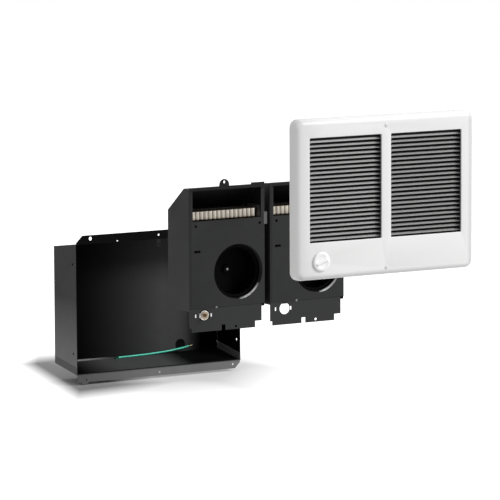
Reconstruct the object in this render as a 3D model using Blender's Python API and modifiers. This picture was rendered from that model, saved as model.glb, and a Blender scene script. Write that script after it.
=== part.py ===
"""In-wall twin fan heater, drawn out of its wall can.

A folded steel can sits in the wall. Two heaters hang side by side on its front edge, each a
front plate with a box behind it that holds a pleated element, a scroll, a blower wheel and a
motor. A painted steel grille with two louvre banks covers them. Its knob turns the thermostat
of the left heater.

Axes: +X to the right, +Y into the wall, +Z up. The origin is the centre of the can's back face.
The heaters and the grille stand drawn out along a line that rises towards the room.
Each heater is modelled in its own frame: x from the plate's left edge, y from the plate's front
face towards the wall, z from the plate's bottom edge. The grille's frame starts at the middle of
its bottom edge, in the plane of its front face.
"""
import math

import bmesh
import bpy
from mathutils import Matrix, Vector

MM = 0.001
GAP = 0.3 * MM                        # clearance between neighbours that touch on the real product
SHEET = 1.0 * MM                      # steel of the can, the plates and the housings

# The three sizes that the others follow
GRILLE_WIDTH = 390 * MM
GRILLE_HEIGHT = 298 * MM
CAN_DEPTH = 96.5 * MM

# Wall can
GRILLE_SIDE_COVER = 3 * MM            # how far the grille reaches past the can on each side
GRILLE_HEIGHT_COVER = 30 * MM         # how much higher the grille is than the can
CAN_WIDTH = GRILLE_WIDTH - 2 * GRILLE_SIDE_COVER
CAN_HEIGHT = GRILLE_HEIGHT - GRILLE_HEIGHT_COVER      # at the front; top and floor lean in behind
CAN_LEAN = 13 * MM                    # how far the top and the floor lean in by the back
TOP_FLANGE = 17 * MM
BOTTOM_FLANGE = 16 * MM
TOP_CHAMFER_WIDTH = 14 * MM
BOTTOM_CHAMFER_WIDTH = 12 * MM
LOBE_RADIUS = 10 * MM                 # round ear at the left end of the bottom flange
LOBE_RAISE = 5 * MM                   # the ear's centre above the flange's bottom edge
LOBE_INSET = 17 * MM
LOBE_HOLE_SHIFT = 4 * MM
CORNER_HOLE_DROP = 7 * MM
SEAM_HEIGHT = 15 * MM                 # strip along the lower edge of each side wall
KEYHOLE_RADIUS = 3.5 * MM
KEYHOLE_INSET = 32.5 * MM
KEYHOLE_RISE = 10 * MM
EDGE_HOLE_RADIUS = 2.2 * MM
EDGE_HOLE_RISE = 7.5 * MM
STUD_HOLE_RADIUS = 2.6 * MM
STUD_HOLE_INSET = 15 * MM
STUD_HOLE_MARGIN = 42 * MM            # from the can's top and bottom edges
KNOCKOUT_RADIUS = 11 * MM
KNOCKOUT_INSET = 90 * MM              # from the can's side
KNOCKOUT_HEIGHT = 28 * MM             # above the can's bottom edge
EAR_WIDTH = 9 * MM                    # takes the grille's top screw, between the two heaters
EAR_MARGIN = 5 * MM
GROUND_SCREW_ACROSS = -56 * MM
GROUND_SCREW_BACK = 14 * MM           # from the can's back face
GROUND_SCREW_RADIUS = 4.2 * MM
GROUND_SCREW_HEIGHT = 2.6 * MM
WIRE_RADIUS = 1.9 * MM
WIRE_REACH = 171 * MM
WIRE_CLOSING = 8 * MM                 # how much nearer to the back wall its end lies
WIRE_LIFT = 0.6 * MM
WIRE_RISE = 8 * MM
WIRE_POINT_COUNT = 22

# Heater plate
PLATE_INSET = 17 * MM                 # from the can's side
PLATE_SPACING = 12 * MM               # between the two plates
PLATE_TOP_DROP = 8 * MM               # plate's top edge below the can's top, when seated
PLATE_COVER = 17 * MM                 # how much higher the grille is than the plate
PLATE_WIDTH = (CAN_WIDTH - PLATE_SPACING) / 2 - PLATE_INSET
PLATE_HEIGHT = GRILLE_HEIGHT - PLATE_COVER
PLATE_PITCH = PLATE_WIDTH + PLATE_SPACING
FOLD_HEIGHT = 46 * MM
OUTLET_SIDE = 8 * MM
OUTLET_TOP = 6 * MM
OUTLET_HEIGHT = 59 * MM
INLET_LEFT = 55 * MM                  # plate left and right of the fan's inlet
INLET_RIGHT = 5 * MM
INLET_RISE = 12 * MM                  # above the fold
INLET_RADIUS = (PLATE_WIDTH - INLET_LEFT - INLET_RIGHT) / 2
FAN_ACROSS = PLATE_WIDTH - INLET_RIGHT - INLET_RADIUS
FAN_HEIGHT = FOLD_HEIGHT + INLET_RISE + INLET_RADIUS
TAB_WIDTH = 22 * MM
TAB_HEIGHT = 14.5 * MM
TAB_ACROSS = 79 * MM
TAB_SLOT_WIDTH = 4.4 * MM
TAB_SLOT_HEIGHT = 6 * MM
TAB_SLOT_RISE = 8.5 * MM
LIP_WIDTH = 30 * MM
LIP_HEIGHT = 4 * MM
FOOT_INSET = 7.4 * MM
FOOT_STEP_WIDTH = 14.7 * MM
FOOT_STEP_HEIGHT = 12.5 * MM
FOOT_LEFT_STEP_WIDTH = 10 * MM
FOOT_LEFT_STEP_HEIGHT = 8.4 * MM
NOTCH_ACROSS = 76 * MM
NOTCH_WIDTH = 9 * MM
NOTCH_HEIGHT = 11 * MM
SCREW_HOLE_RADIUS = 2.8 * MM
SCREW_HOLE_LEFT = 15 * MM
SCREW_HOLE_LEFT_DROP = 74.6 * MM      # below the plate's top edge
SCREW_HOLE_RIGHT = 11 * MM
SCREW_HOLE_RIGHT_DROP = 76 * MM
CROSS_SLOT_LEFT = 11.5 * MM
CROSS_SLOT_WIDTH = 13.5 * MM
CROSS_SLOT_HEIGHT = 4.5 * MM
CROSS_SLOT_DROP = 122 * MM
FOOT_HOLE_ACROSS = 104 * MM
FOOT_HOLE_RISE = 5.5 * MM
RIVET_ACROSS = 60 * MM
RIVET_RADIUS = 1.4 * MM
RIVET_HEAD_RADIUS = 2.4 * MM
CLIP_HEIGHT = 24 * MM
CLIP_DROP = 79 * MM                   # its lower end below the plate's top edge
CLIP_LEG = 2.5 * MM
CLIP_PROUD = 4.5 * MM                 # how far it bows out from the side
CLIP_THICKNESS = 0.6 * MM
CLIP_DEPTH = 14 * MM

# Heater housing
HOUSING_CLEARANCE = 12.5 * MM
HOUSING_DEPTH = CAN_DEPTH - HOUSING_CLEARANCE         # from the plate's front face to the back
HOUSING_BOTTOM = 41 * MM
HOUSING_TOP_DROP = 1.5 * MM
HOUSING_FLAT = 20 * MM                # level part of the top, before it slopes down
HOUSING_SLOPE_DROP = 47 * MM

# Blower, from the plate's front face backwards
MOTOR_ROOM = 32 * MM                  # from the motor plate to the housing's back
MOTOR_PLATE_FRONT = HOUSING_DEPTH - MOTOR_ROOM
RING_LIP_INSET = 4.5 * MM             # inside the plate's hole
RING_LIP_RADIUS = INLET_RADIUS - RING_LIP_INSET
RING_LIP_DEPTH = 9 * MM
RING_NECK = 2 * MM
RING_FLANGE = 3 * MM
RING_SHEET = 0.8 * MM
WHEEL_MARGIN = 1.5 * MM               # the plate's hole is a little wider than the wheel
WHEEL_RADIUS = INLET_RADIUS - WHEEL_MARGIN
BLADE_DEPTH = 9 * MM
WHEEL_INNER_RADIUS = WHEEL_RADIUS - BLADE_DEPTH
WHEEL_FRONT = 11 * MM
WHEEL_BACK = MOTOR_PLATE_FRONT - 1.5 * MM
WHEEL_DISC = 1.5 * MM
WHEEL_RIM = 2.5 * MM
RIM_WIDTH = 7 * MM
BLADE_COUNT = 24
BLADE_THICKNESS = 1.2 * MM
BLADE_LEAN = math.radians(7)          # how far a blade's outer edge runs ahead of its inner edge
BLADE_MARGIN = 2.4 * MM               # blades stop short of the wheel's edge
HUB_RADIUS = 8 * MM
HUB_FRONT = WHEEL_BACK - 6.5 * MM
SHAFT_RADIUS = 2.4 * MM
SHAFT_FRONT = HUB_FRONT - 1.5 * MM
SCROLL_START_GAP = 3.2 * MM           # between the wheel and the scroll where the scroll begins
SCROLL_START_ANGLE = 20               # degrees
SCROLL_GROWTH = 27 * MM               # how far the scroll opens out by the left side
SCROLL_MOUTH_LEFT = 11.3 * MM
SCROLL_BEND = 4 * MM
SCROLL_DROP = 13 * MM                 # below the element
BRIDGE_DEPTH = 3.4 * MM
BRIDGE_LENGTH = 62 * MM
BRIDGE_HEIGHT = 14 * MM
STATOR_DEPTH = 16 * MM
STATOR_WIDTH = 58 * MM
STATOR_HEIGHT = 56 * MM
STATOR_DROP = 12 * MM                 # stator's middle below the shaft
STATOR_LEG = 13 * MM
WINDOW_WIDTH = 22 * MM
ROTOR_RADIUS = 12 * MM
ROTOR_GAP = 0.6 * MM
COIL_WALL = 3.2 * MM

# Element, seen in the outlet
ELEMENT_HEIGHT = 16 * MM
ELEMENT_DROP = 63 * MM                # bottom of the pleats below the plate's top edge
ELEMENT_RISE = PLATE_HEIGHT - ELEMENT_DROP
ELEMENT_FRONT = 6 * MM
ELEMENT_DEPTH = MOTOR_PLATE_FRONT - 2 * ELEMENT_FRONT
ELEMENT_LEFT = 8.3 * MM
ELEMENT_RIGHT = 11.7 * MM
ELEMENT_WIDTH = PLATE_WIDTH - ELEMENT_LEFT - ELEMENT_RIGHT
SCROLL_TOP = ELEMENT_RISE - SCROLL_DROP
PLEAT_PITCH = 10.2 * MM
PLEAT_COUNT = round(ELEMENT_WIDTH / PLEAT_PITCH)
RIBBON_THICKNESS = 1.1 * MM
SUPPORT_MARGIN = 4 * MM
SWITCH_RADIUS = 8 * MM
SWITCH_DEPTH = 9 * MM
SWITCH_ACROSS = 62 * MM
SWITCH_DROP = 15 * MM                 # below the element

# Thermostat, on the left heater
KNOB_ACROSS = 33 * MM                 # knob and thermostat shaft, from the left plate's left edge
KNOB_RISE = 32 * MM                   # above the plate's bottom edge
THERMOSTAT_HOLE_RADIUS = 11.5 * MM
THERMOSTAT_WIDTH = 34 * MM
THERMOSTAT_HEIGHT = 13 * MM
THERMOSTAT_DEPTH = 16 * MM
BRACKET_WIDTH = 46 * MM
BRACKET_LEFT = 9 * MM
BRACKET_HEIGHT = 9 * MM
EAR_SLOT_WIDTH = 3.2 * MM
EAR_SLOT_HEIGHT = 7 * MM
EAR_SLOT_LEFT = 12.5 * MM
EAR_SLOT_RIGHT = 47 * MM
COLLAR_RADIUS = 9.5 * MM
COLLAR_FRONT = 2.5 * MM
DIAL_SHAFT_RADIUS = 3 * MM
DIAL_SHAFT_BLIND = 5 * MM             # how deep the shaft goes into the thermostat's body

# Grille
GRILLE_DEPTH = 24 * MM
GRILLE_SHEET = 1.5 * MM
GRILLE_CORNER = 15 * MM
GRILLE_EDGE = 9 * MM
GRILLE_BELOW_PLATE = 2.5 * MM
BANK_BOTTOM = 70 * MM                 # plain metal below, above, between and beside the banks
BANK_TOP_MARGIN = 34.5 * MM
BANK_SIDE_MARGIN = 29.5 * MM
MIDDLE_BAR = 21 * MM
BANK_WIDTH = (GRILLE_WIDTH - MIDDLE_BAR) / 2 - BANK_SIDE_MARGIN
BANK_HEIGHT = GRILLE_HEIGHT - BANK_BOTTOM - BANK_TOP_MARGIN
LOUVRE_COUNT = 24
LOUVRE_DEPTH = 9 * MM
LOUVRE_RISE = 1.8 * MM
LOUVRE_THICKNESS = 1.3 * MM
RAIL_WIDTH = 2 * MM
RAIL_MARGIN = 2 * MM
GRILLE_SCREW_RADIUS = 2 * MM
GRILLE_SCREW_HEAD = 3.6 * MM
GRILLE_SCREW_LENGTH = 27 * MM
GRILLE_SCREW_TOP = 18.4 * MM
GRILLE_SCREW_BOTTOM = 14.4 * MM
KNOB_RADIUS = 19.5 * MM
KNOB_HEIGHT = 11 * MM
KNOB_STUB_RADIUS = 6.2 * MM
KNOB_STUB_LENGTH = 15 * MM
KNOB_SOCKET_RADIUS = 5 * MM
KNOB_ENGAGEMENT = 4 * MM
GRIP_WIDTH = 7 * MM
GRIP_HEIGHT = 4 * MM
GRIP_TURN = math.radians(65)          # from upright, towards the right

# How far the pieces stand drawn out
PULL_ANGLE = math.radians(20.4)
HEATER_PULL = 466 * MM
GRILLE_PULL = 440 * MM

# Worked out from the sizes above
CAN_HALF = CAN_HEIGHT / 2
SIDE_HALF = CAN_WIDTH / 2
WRAP_HALF = SIDE_HALF - SHEET - GAP
PLATE_FRONT_Y = -(CAN_DEPTH + GAP + SHEET)
PLATE_BOTTOM_Z = CAN_HALF - PLATE_TOP_DROP - PLATE_HEIGHT
LEFT_PLATE_X = -(PLATE_PITCH + PLATE_WIDTH) / 2
RIGHT_PLATE_X = LEFT_PLATE_X + PLATE_PITCH
HOUSING_TOP = PLATE_HEIGHT - HOUSING_TOP_DROP
BEHIND_PLATE = SHEET + GAP
GRILLE_FRONT_Y = PLATE_FRONT_Y - GAP - GRILLE_DEPTH
GRILLE_BOTTOM_Z = PLATE_BOTTOM_Z - GRILLE_BELOW_PLATE
KNOB_X = LEFT_PLATE_X + KNOB_ACROSS
KNOB_Z = PLATE_BOTTOM_Z + KNOB_RISE - GRILLE_BOTTOM_Z
SHAFT_TIP = GRILLE_DEPTH + GAP - KNOB_STUB_LENGTH + KNOB_ENGAGEMENT
STATOR_FRONT = MOTOR_PLATE_FRONT + SHEET + GAP + BRIDGE_DEPTH + GAP
STATOR_BACK = STATOR_FRONT + STATOR_DEPTH
GRILLE_TOP_SCREW_Z = GRILLE_BOTTOM_Z + GRILLE_HEIGHT - GRILLE_SCREW_TOP
GRILLE_BOTTOM_SCREW_Z = GRILLE_BOTTOM_Z + GRILLE_SCREW_BOTTOM
BANK_CENTRE = (MIDDLE_BAR + BANK_WIDTH) / 2
TAB_HOLE_Z = PLATE_BOTTOM_Z + PLATE_HEIGHT + TAB_SLOT_RISE
COLLECTIONS = {}

# The planes that flat outlines are drawn in: local x, local y and the way they are thickened
FRONTAL = Matrix(((1, 0, 0), (0, 0, -1), (0, 1, 0)))      # x, z, thickened along y
SIDEWAYS = Matrix(((0, 0, 1), (1, 0, 0), (0, 1, 0)))      # y, z, thickened along x
LEVEL = Matrix.Identity(3)                                # x, y, thickened along z


def pull(distance):
    """Offset of a piece drawn out by a distance along the rising line."""
    return Vector((0, -distance * math.cos(PULL_ANGLE), distance * math.sin(PULL_ANGLE)))


def material(name, colour, roughness, metallic):
    shade = bpy.data.materials.new(name)
    shade.use_nodes = True
    shader = shade.node_tree.nodes["Principled BSDF"]
    shader.inputs["Base Color"].default_value = (*colour, 1)
    shader.inputs["Roughness"].default_value = roughness
    shader.inputs["Metallic"].default_value = metallic
    return shade


def place(name, mesh, parent, colour, collection="parts", location=(0, 0, 0)):
    """Put a mesh in the scene as a named object under its group's empty."""
    piece = bpy.data.objects.new(name, mesh)
    piece.location = location
    piece.parent = parent
    COLLECTIONS[collection].objects.link(piece)
    if colour is not None:
        look, roughness, metallic = colour
        mesh.materials.clear()
        mesh.materials.append(material(name, look, roughness, metallic))
    return piece


def as_cutter(piece):
    piece.hide_render = True
    piece.display_type = "WIRE"
    return piece


def tidy(mesh, sharp=40):
    """Weld the corners that a curve leaves loose, turn the faces outward and shade smooth."""
    work = bmesh.new()
    work.from_mesh(mesh)
    bmesh.ops.remove_doubles(work, verts=work.verts, dist=0.00001)
    bmesh.ops.recalc_face_normals(work, faces=work.faces)
    work.to_mesh(mesh)
    work.free()
    mesh.shade_smooth()
    mesh.set_sharp_from_angle(angle=math.radians(sharp))
    return mesh


def outline(name, loops, thickness, plane, start):
    """A flat outline with holes, thickened from start along the plane's third direction.

    A loop inside another is a hole. The start and the thickness are measured along world
    +Y for FRONTAL, +X for SIDEWAYS and +Z for LEVEL.
    """
    curve = bpy.data.curves.new(name, "CURVE")
    curve.dimensions = "2D"
    curve.fill_mode = "BOTH"
    curve.extrude = thickness / 2
    for loop in loops:
        spline = curve.splines.new("POLY")
        spline.points.add(len(loop) - 1)
        for point, (across, up) in zip(spline.points, loop):
            point.co = (across, up, 0, 1)
        spline.use_cyclic_u = True
    drawn = bpy.data.objects.new(name, curve)
    bpy.context.scene.collection.objects.link(drawn)
    bpy.context.view_layer.update()
    solid = drawn.evaluated_get(bpy.context.evaluated_depsgraph_get())
    mesh = bpy.data.meshes.new_from_object(solid)
    bpy.data.objects.remove(drawn)
    bpy.data.curves.remove(curve)
    mesh.transform(plane.to_4x4())
    middle = start + thickness / 2
    towards = Vector([abs(part) for part in plane.col[2]])
    mesh.transform(Matrix.Translation(towards * middle))
    return tidy(mesh)


def rectangle(left, right, bottom, top):
    return [(left, bottom), (right, bottom), (right, top), (left, top)]


def circle(across, up, radius, count=12):
    turn = 2 * math.pi / count
    return [(across + radius * math.cos(turn * k), up + radius * math.sin(turn * k))
            for k in range(count)]


def stadium(across, up, width, height, count=4):
    """An upright slot with round ends."""
    radius = width / 2
    reach = height / 2 - radius
    loop = []
    for centre, start in ((up + reach, 0), (up - reach, math.pi)):
        for k in range(count + 1):
            angle = start + math.pi * k / count
            loop.append((across + radius * math.cos(angle), centre + radius * math.sin(angle)))
    return loop


def strip(path, thickness):
    """Closed outline of a bent strip whose left-hand side, seen along the path, is the path."""
    ways = []
    for (ax, ay), (bx, by) in zip(path, path[1:]):
        length = math.hypot(bx - ax, by - ay)
        ways.append(((bx - ax) / length, (by - ay) / length))
    far = []
    for k, (px, py) in enumerate(path):
        before = ways[max(k - 1, 0)]
        after = ways[min(k, len(ways) - 1)]
        side_x = before[1] + after[1]
        side_y = -before[0] - after[0]
        scale = thickness / (side_x * before[1] - side_y * before[0])
        far.append((px + side_x * scale, py + side_y * scale))
    return list(path) + far[::-1]


def box(name, low, high):
    mesh = bpy.data.meshes.new(name)
    work = bmesh.new()
    size = [b - a for a, b in zip(low, high)]
    middle = [(a + b) / 2 for a, b in zip(low, high)]
    fit = Matrix.Translation(middle) @ Matrix.Diagonal((*size, 1))
    bmesh.ops.create_cube(work, size=1, matrix=fit)
    work.to_mesh(mesh)
    work.free()
    return mesh


def turned(name, profile, parent, colour, location, steps=32, collection="parts", closed=False):
    """A turned piece. Profile points are (radius, distance in front of the location)."""
    mesh = bpy.data.meshes.new(name)
    points = [(radius, 0, forward) for radius, forward in profile]
    edges = [(k, k + 1) for k in range(len(points) - 1)]
    if closed:
        edges.append((len(points) - 1, 0))
    mesh.from_pydata(points, edges, [])
    piece = place(name, mesh, parent, colour, collection, location)
    piece.rotation_euler = (math.radians(90), 0, 0)
    screw = piece.modifiers.new("turn", "SCREW")
    screw.axis = "Z"
    screw.steps = steps
    screw.render_steps = steps
    screw.use_merge_vertices = True
    screw.merge_threshold = 0.00001
    screw.use_smooth_shade = False
    return piece


def boolean(piece, other, operation):
    step = piece.modifiers.new(operation.lower(), "BOOLEAN")
    step.operation = operation
    step.object = as_cutter(other)


def empty(name, location, parent=None):
    frame = bpy.data.objects.new(name, None)
    frame.location = location
    frame.parent = parent
    COLLECTIONS["parts"].objects.link(frame)
    return frame


BLACK_STEEL = ((0.017, 0.017, 0.018), 0.42, 0.0)
BLACK_SATIN = ((0.036, 0.037, 0.039), 0.5, 0.0)
GALVANISED = ((0.55, 0.56, 0.57), 0.35, 0.9)
BRIGHT = ((0.72, 0.72, 0.7), 0.25, 1.0)
BRASS = ((0.62, 0.5, 0.34), 0.35, 0.9)
CERAMIC = ((0.72, 0.66, 0.55), 0.7, 0.0)
MICA = ((0.28, 0.25, 0.2), 0.6, 0.0)
DARK_RESIN = ((0.03, 0.03, 0.03), 0.6, 0.0)
LAMINATION = ((0.12, 0.12, 0.13), 0.5, 0.7)
COPPER = ((0.45, 0.2, 0.09), 0.4, 0.8)
GREEN = ((0.02, 0.28, 0.16), 0.45, 0.0)
WHITE_PAINT = ((0.82, 0.82, 0.81), 0.4, 0.0)
WHITE_RESIN = ((0.84, 0.84, 0.83), 0.45, 0.0)


def wall_height(depth_from_front):
    """Outer height, from the middle, of the can's top or floor at a depth behind its front."""
    return CAN_HALF - CAN_LEAN * depth_from_front / CAN_DEPTH


def can_floor(from_back):
    """Height of the floor's inner face at a distance from the can's back face."""
    return -wall_height(CAN_DEPTH - from_back) + SHEET


def build_can(frame):
    inner = CAN_HALF - SHEET
    bottom = -CAN_HALF - BOTTOM_FLANGE
    lobe_z = bottom + LOBE_RAISE
    path = [(-CAN_DEPTH, lobe_z - LOBE_RADIUS), (-CAN_DEPTH, -inner), (-SHEET, CAN_LEAN - inner),
            (-SHEET, inner - CAN_LEAN), (-CAN_DEPTH, inner), (-CAN_DEPTH, CAN_HALF + TOP_FLANGE)]
    folded = strip(path, SHEET)
    wrap_mesh = outline("can_wrap", [folded], 2 * WRAP_HALF, SIDEWAYS, -WRAP_HALF)
    wrap = place("can_wrap", wrap_mesh, frame, BLACK_STEEL)

    far = 1.5 * WRAP_HALF
    top = CAN_HALF + TOP_FLANGE
    corner = WRAP_HALF - TOP_CHAMFER_WIDTH
    lobe_x = -WRAP_HALF + LOBE_INSET
    dip = math.asin(LOBE_RAISE / LOBE_RADIUS)
    lobe = [(lobe_x + LOBE_RADIUS * math.cos(a), lobe_z + LOBE_RADIUS * math.sin(a))
            for a in [math.pi + dip + (math.pi - 2 * dip) * k / 8 for k in range(9)]]
    under = [(-far, bottom), *lobe, (WRAP_HALF - BOTTOM_CHAMFER_WIDTH, bottom),
             (WRAP_HALF + SHEET, bottom + BOTTOM_CHAMFER_WIDTH + SHEET),
             (far, bottom + BOTTOM_CHAMFER_WIDTH + SHEET), (far, 2 * bottom), (-far, 2 * bottom)]
    loops = [under]
    for side in (-1, 1):
        loops.append([(side * corner, top), (side * far, top), (side * far, top - (far - corner))])
    screw_z = CAN_HALF + EDGE_HOLE_RISE
    loops.append(stadium(-WRAP_HALF + KEYHOLE_INSET, CAN_HALF + KEYHOLE_RISE,
                         2 * KEYHOLE_RADIUS, 2.4 * KEYHOLE_RADIUS))
    for across in (LEFT_PLATE_X + TAB_ACROSS, RIGHT_PLATE_X + TAB_ACROSS, 0):
        loops.append(circle(across, screw_z if across == 0 else TAB_HOLE_Z, EDGE_HOLE_RADIUS, 10))
    loops.append(circle(0, GRILLE_BOTTOM_SCREW_Z, GRILLE_SCREW_RADIUS + 2 * GAP, 10))
    loops.append(circle(lobe_x + LOBE_HOLE_SHIFT, lobe_z, EDGE_HOLE_RADIUS, 10))
    loops.append(circle(WRAP_HALF - LOBE_INSET, -CAN_HALF - CORNER_HOLE_DROP, EDGE_HOLE_RADIUS, 10))
    front_mesh = outline("flange_cutter", loops, 3 * SHEET, FRONTAL, -CAN_DEPTH - SHEET)
    boolean(wrap, place("flange_cutter", front_mesh, frame, None, "cutters"), "DIFFERENCE")

    knockout_x = SIDE_HALF - KNOCKOUT_INSET
    knockout_z = -CAN_HALF + KNOCKOUT_HEIGHT
    holes = [circle(side * knockout_x, knockout_z, KNOCKOUT_RADIUS, 20) for side in (-1, 1)]
    hole_mesh = outline("knockout_cutter", holes, 3 * SHEET, FRONTAL, -2 * SHEET)
    boolean(wrap, place("knockout_cutter", hole_mesh, frame, None, "cutters"), "DIFFERENCE")
    for side, label in ((-1, "left"), (1, "right")):
        disc = circle(side * knockout_x, knockout_z, KNOCKOUT_RADIUS - GAP, 20)
        disc_mesh = outline("knockout_" + label, [disc], SHEET, FRONTAL, -SHEET)
        place("knockout_" + label, disc_mesh, frame, BLACK_STEEL)

        seam_top = SEAM_HEIGHT - CAN_HALF
        panel = [(-CAN_DEPTH, CAN_HALF), (0, CAN_HALF - CAN_LEAN),
                 (0, seam_top + CAN_LEAN + GAP), (-CAN_DEPTH, seam_top + GAP)]
        stud_z = CAN_HALF - STUD_HOLE_MARGIN
        studs = [circle(-CAN_DEPTH + STUD_HOLE_INSET, up * stud_z, STUD_HOLE_RADIUS)
                 for up in (-1, 1)]
        start = side * SIDE_HALF - (SHEET if side > 0 else 0)
        side_mesh = outline("can_side_" + label, [panel, *studs], SHEET, SIDEWAYS, start)
        place("can_side_" + label, side_mesh, frame, BLACK_STEEL)

        seam = [(-CAN_DEPTH, -CAN_HALF), (-CAN_DEPTH, seam_top),
                (0, seam_top + CAN_LEAN), (0, CAN_LEAN - CAN_HALF)]
        seam_mesh = outline("can_seam_" + label, [seam], SHEET, SIDEWAYS, start)
        place("can_seam_" + label, seam_mesh, frame, BLACK_STEEL)

    ear_bottom = GRILLE_TOP_SCREW_Z - EAR_MARGIN
    ear = rectangle(-EAR_WIDTH / 2, EAR_WIDTH / 2, ear_bottom, wall_height(SHEET) - SHEET - GAP)
    ear_hole = circle(0, GRILLE_TOP_SCREW_Z, GRILLE_SCREW_RADIUS + 2 * GAP, 10)
    ear_mesh = outline("grille_screw_ear", [ear, ear_hole], SHEET, FRONTAL, -CAN_DEPTH)
    place("grille_screw_ear", ear_mesh, frame, BLACK_STEEL)

    lean = math.atan2(CAN_LEAN, CAN_DEPTH)
    screw_foot = Vector((GROUND_SCREW_ACROSS, -GROUND_SCREW_BACK, can_floor(GROUND_SCREW_BACK)))
    profile = [(0, GROUND_SCREW_HEIGHT), (GROUND_SCREW_RADIUS * 0.7, GROUND_SCREW_HEIGHT),
               (GROUND_SCREW_RADIUS, GROUND_SCREW_HEIGHT * 0.6), (GROUND_SCREW_RADIUS, GAP), (0, GAP)]
    green_screw = turned("ground_screw", profile, frame, GREEN, screw_foot, 16)
    green_screw.rotation_euler = (lean, 0, 0)


def tube(name, path, radius, parent, colour, resolution=2):
    curve = bpy.data.curves.new(name, "CURVE")
    curve.dimensions = "3D"
    curve.bevel_depth = radius
    curve.bevel_resolution = resolution
    curve.use_fill_caps = True
    spline = curve.splines.new("POLY")
    spline.points.add(len(path) - 1)
    for point, place_at in zip(spline.points, path):
        point.co = (*place_at, 1)
    drawn = bpy.data.objects.new(name, curve)
    bpy.context.scene.collection.objects.link(drawn)
    bpy.context.view_layer.update()
    solid = drawn.evaluated_get(bpy.context.evaluated_depsgraph_get())
    mesh = tidy(bpy.data.meshes.new_from_object(solid), 60)
    bpy.data.objects.remove(drawn)
    return place(name, mesh, parent, colour)


def build_ground_wire(frame):
    """The green wire runs from its screw along the floor and rises along the back wall."""
    start = GROUND_SCREW_ACROSS + GROUND_SCREW_RADIUS + GAP
    path = []
    for k in range(WIRE_POINT_COUNT):
        share = k / (WIRE_POINT_COUNT - 1)
        from_back = GROUND_SCREW_BACK - WIRE_CLOSING * share
        height = can_floor(from_back) + WIRE_RADIUS + WIRE_LIFT + WIRE_RISE * share ** 3.5
        path.append((start + WIRE_REACH * share, -from_back, height))
    tube("ground_wire", path, WIRE_RADIUS, frame, GREEN)


def plate_outline():
    """The plate's edge, from its bottom left corner round to the right, with tab and lip."""
    right = PLATE_WIDTH
    foot = right - FOOT_INSET
    top = PLATE_HEIGHT
    tab_left = TAB_ACROSS - TAB_WIDTH / 2
    tab_round = TAB_WIDTH / 2
    tab = [(TAB_ACROSS + tab_round * math.cos(math.pi * k / 8),
            top + TAB_HEIGHT - tab_round + tab_round * math.sin(math.pi * k / 8)) for k in range(9)]
    notch_left = NOTCH_ACROSS - NOTCH_WIDTH / 2
    notch_right = NOTCH_ACROSS + NOTCH_WIDTH / 2
    return [(FOOT_LEFT_STEP_WIDTH / 2, 0), (notch_left, 0), (notch_left, NOTCH_HEIGHT),
            (notch_right, NOTCH_HEIGHT), (notch_right, 0), (foot - FOOT_STEP_WIDTH, 0),
            (foot - FOOT_STEP_WIDTH, FOOT_STEP_HEIGHT), (foot, FOOT_STEP_HEIGHT),
            (foot, FOLD_HEIGHT), (right, FOLD_HEIGHT), (right, top), (right, top + LIP_HEIGHT),
            (right - LIP_WIDTH, top + LIP_HEIGHT), (right - LIP_WIDTH, top),
            (TAB_ACROSS + TAB_WIDTH / 2, top), *tab, (tab_left, top), (0, top),
            (0, FOOT_LEFT_STEP_HEIGHT), (FOOT_LEFT_STEP_WIDTH / 2, FOOT_LEFT_STEP_HEIGHT)]


def build_plate(side, frame):
    outlet_top = PLATE_HEIGHT - OUTLET_TOP
    loops = [plate_outline(),
             rectangle(OUTLET_SIDE, PLATE_WIDTH - OUTLET_SIDE, outlet_top - OUTLET_HEIGHT, outlet_top),
             circle(FAN_ACROSS, FAN_HEIGHT, INLET_RADIUS, 40),
             circle(KNOB_ACROSS, KNOB_RISE, THERMOSTAT_HOLE_RADIUS, 20),
             circle(RIVET_ACROSS, FOLD_HEIGHT, RIVET_RADIUS + GAP, 8),
             stadium(TAB_ACROSS, PLATE_HEIGHT + TAB_SLOT_RISE, TAB_SLOT_WIDTH, TAB_SLOT_HEIGHT),
             circle(SCREW_HOLE_LEFT, PLATE_HEIGHT - SCREW_HOLE_LEFT_DROP, SCREW_HOLE_RADIUS, 8),
             circle(PLATE_WIDTH - SCREW_HOLE_RIGHT, PLATE_HEIGHT - SCREW_HOLE_RIGHT_DROP,
                    SCREW_HOLE_RADIUS, 8),
             rectangle(CROSS_SLOT_LEFT, CROSS_SLOT_LEFT + CROSS_SLOT_WIDTH,
                       PLATE_HEIGHT - CROSS_SLOT_DROP - CROSS_SLOT_HEIGHT,
                       PLATE_HEIGHT - CROSS_SLOT_DROP),
             circle(FOOT_HOLE_ACROSS, FOOT_HOLE_RISE, SCREW_HOLE_RADIUS, 8)]
    for across in (EAR_SLOT_LEFT, EAR_SLOT_RIGHT):
        half = EAR_SLOT_WIDTH / 2
        loops.append(rectangle(across - half, across + half,
                               KNOB_RISE - EAR_SLOT_HEIGHT / 2, KNOB_RISE + EAR_SLOT_HEIGHT / 2))
    mesh = outline(side + "_front_plate", loops, SHEET, FRONTAL, 0)
    place(side + "_front_plate", mesh, frame, BLACK_SATIN)

    rivet = [(0, 1.3 * MM), (RIVET_HEAD_RADIUS * 0.7, 1.1 * MM), (RIVET_HEAD_RADIUS, GAP),
             (RIVET_RADIUS, GAP), (RIVET_RADIUS, -BEHIND_PLATE), (0, -BEHIND_PLATE)]
    turned(side + "_rivet", rivet, frame, GALVANISED, (RIVET_ACROSS, 0, FOLD_HEIGHT), 12)

    edge = PLATE_WIDTH + CLIP_PROUD
    clip = strip([(PLATE_WIDTH - CLIP_LEG, -GAP), (edge, -GAP), (edge, CLIP_DEPTH)], CLIP_THICKNESS)
    clip_mesh = outline(side + "_edge_clip", [clip], CLIP_HEIGHT, LEVEL, PLATE_HEIGHT - CLIP_DROP)
    place(side + "_edge_clip", clip_mesh, frame, BRIGHT)


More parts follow.
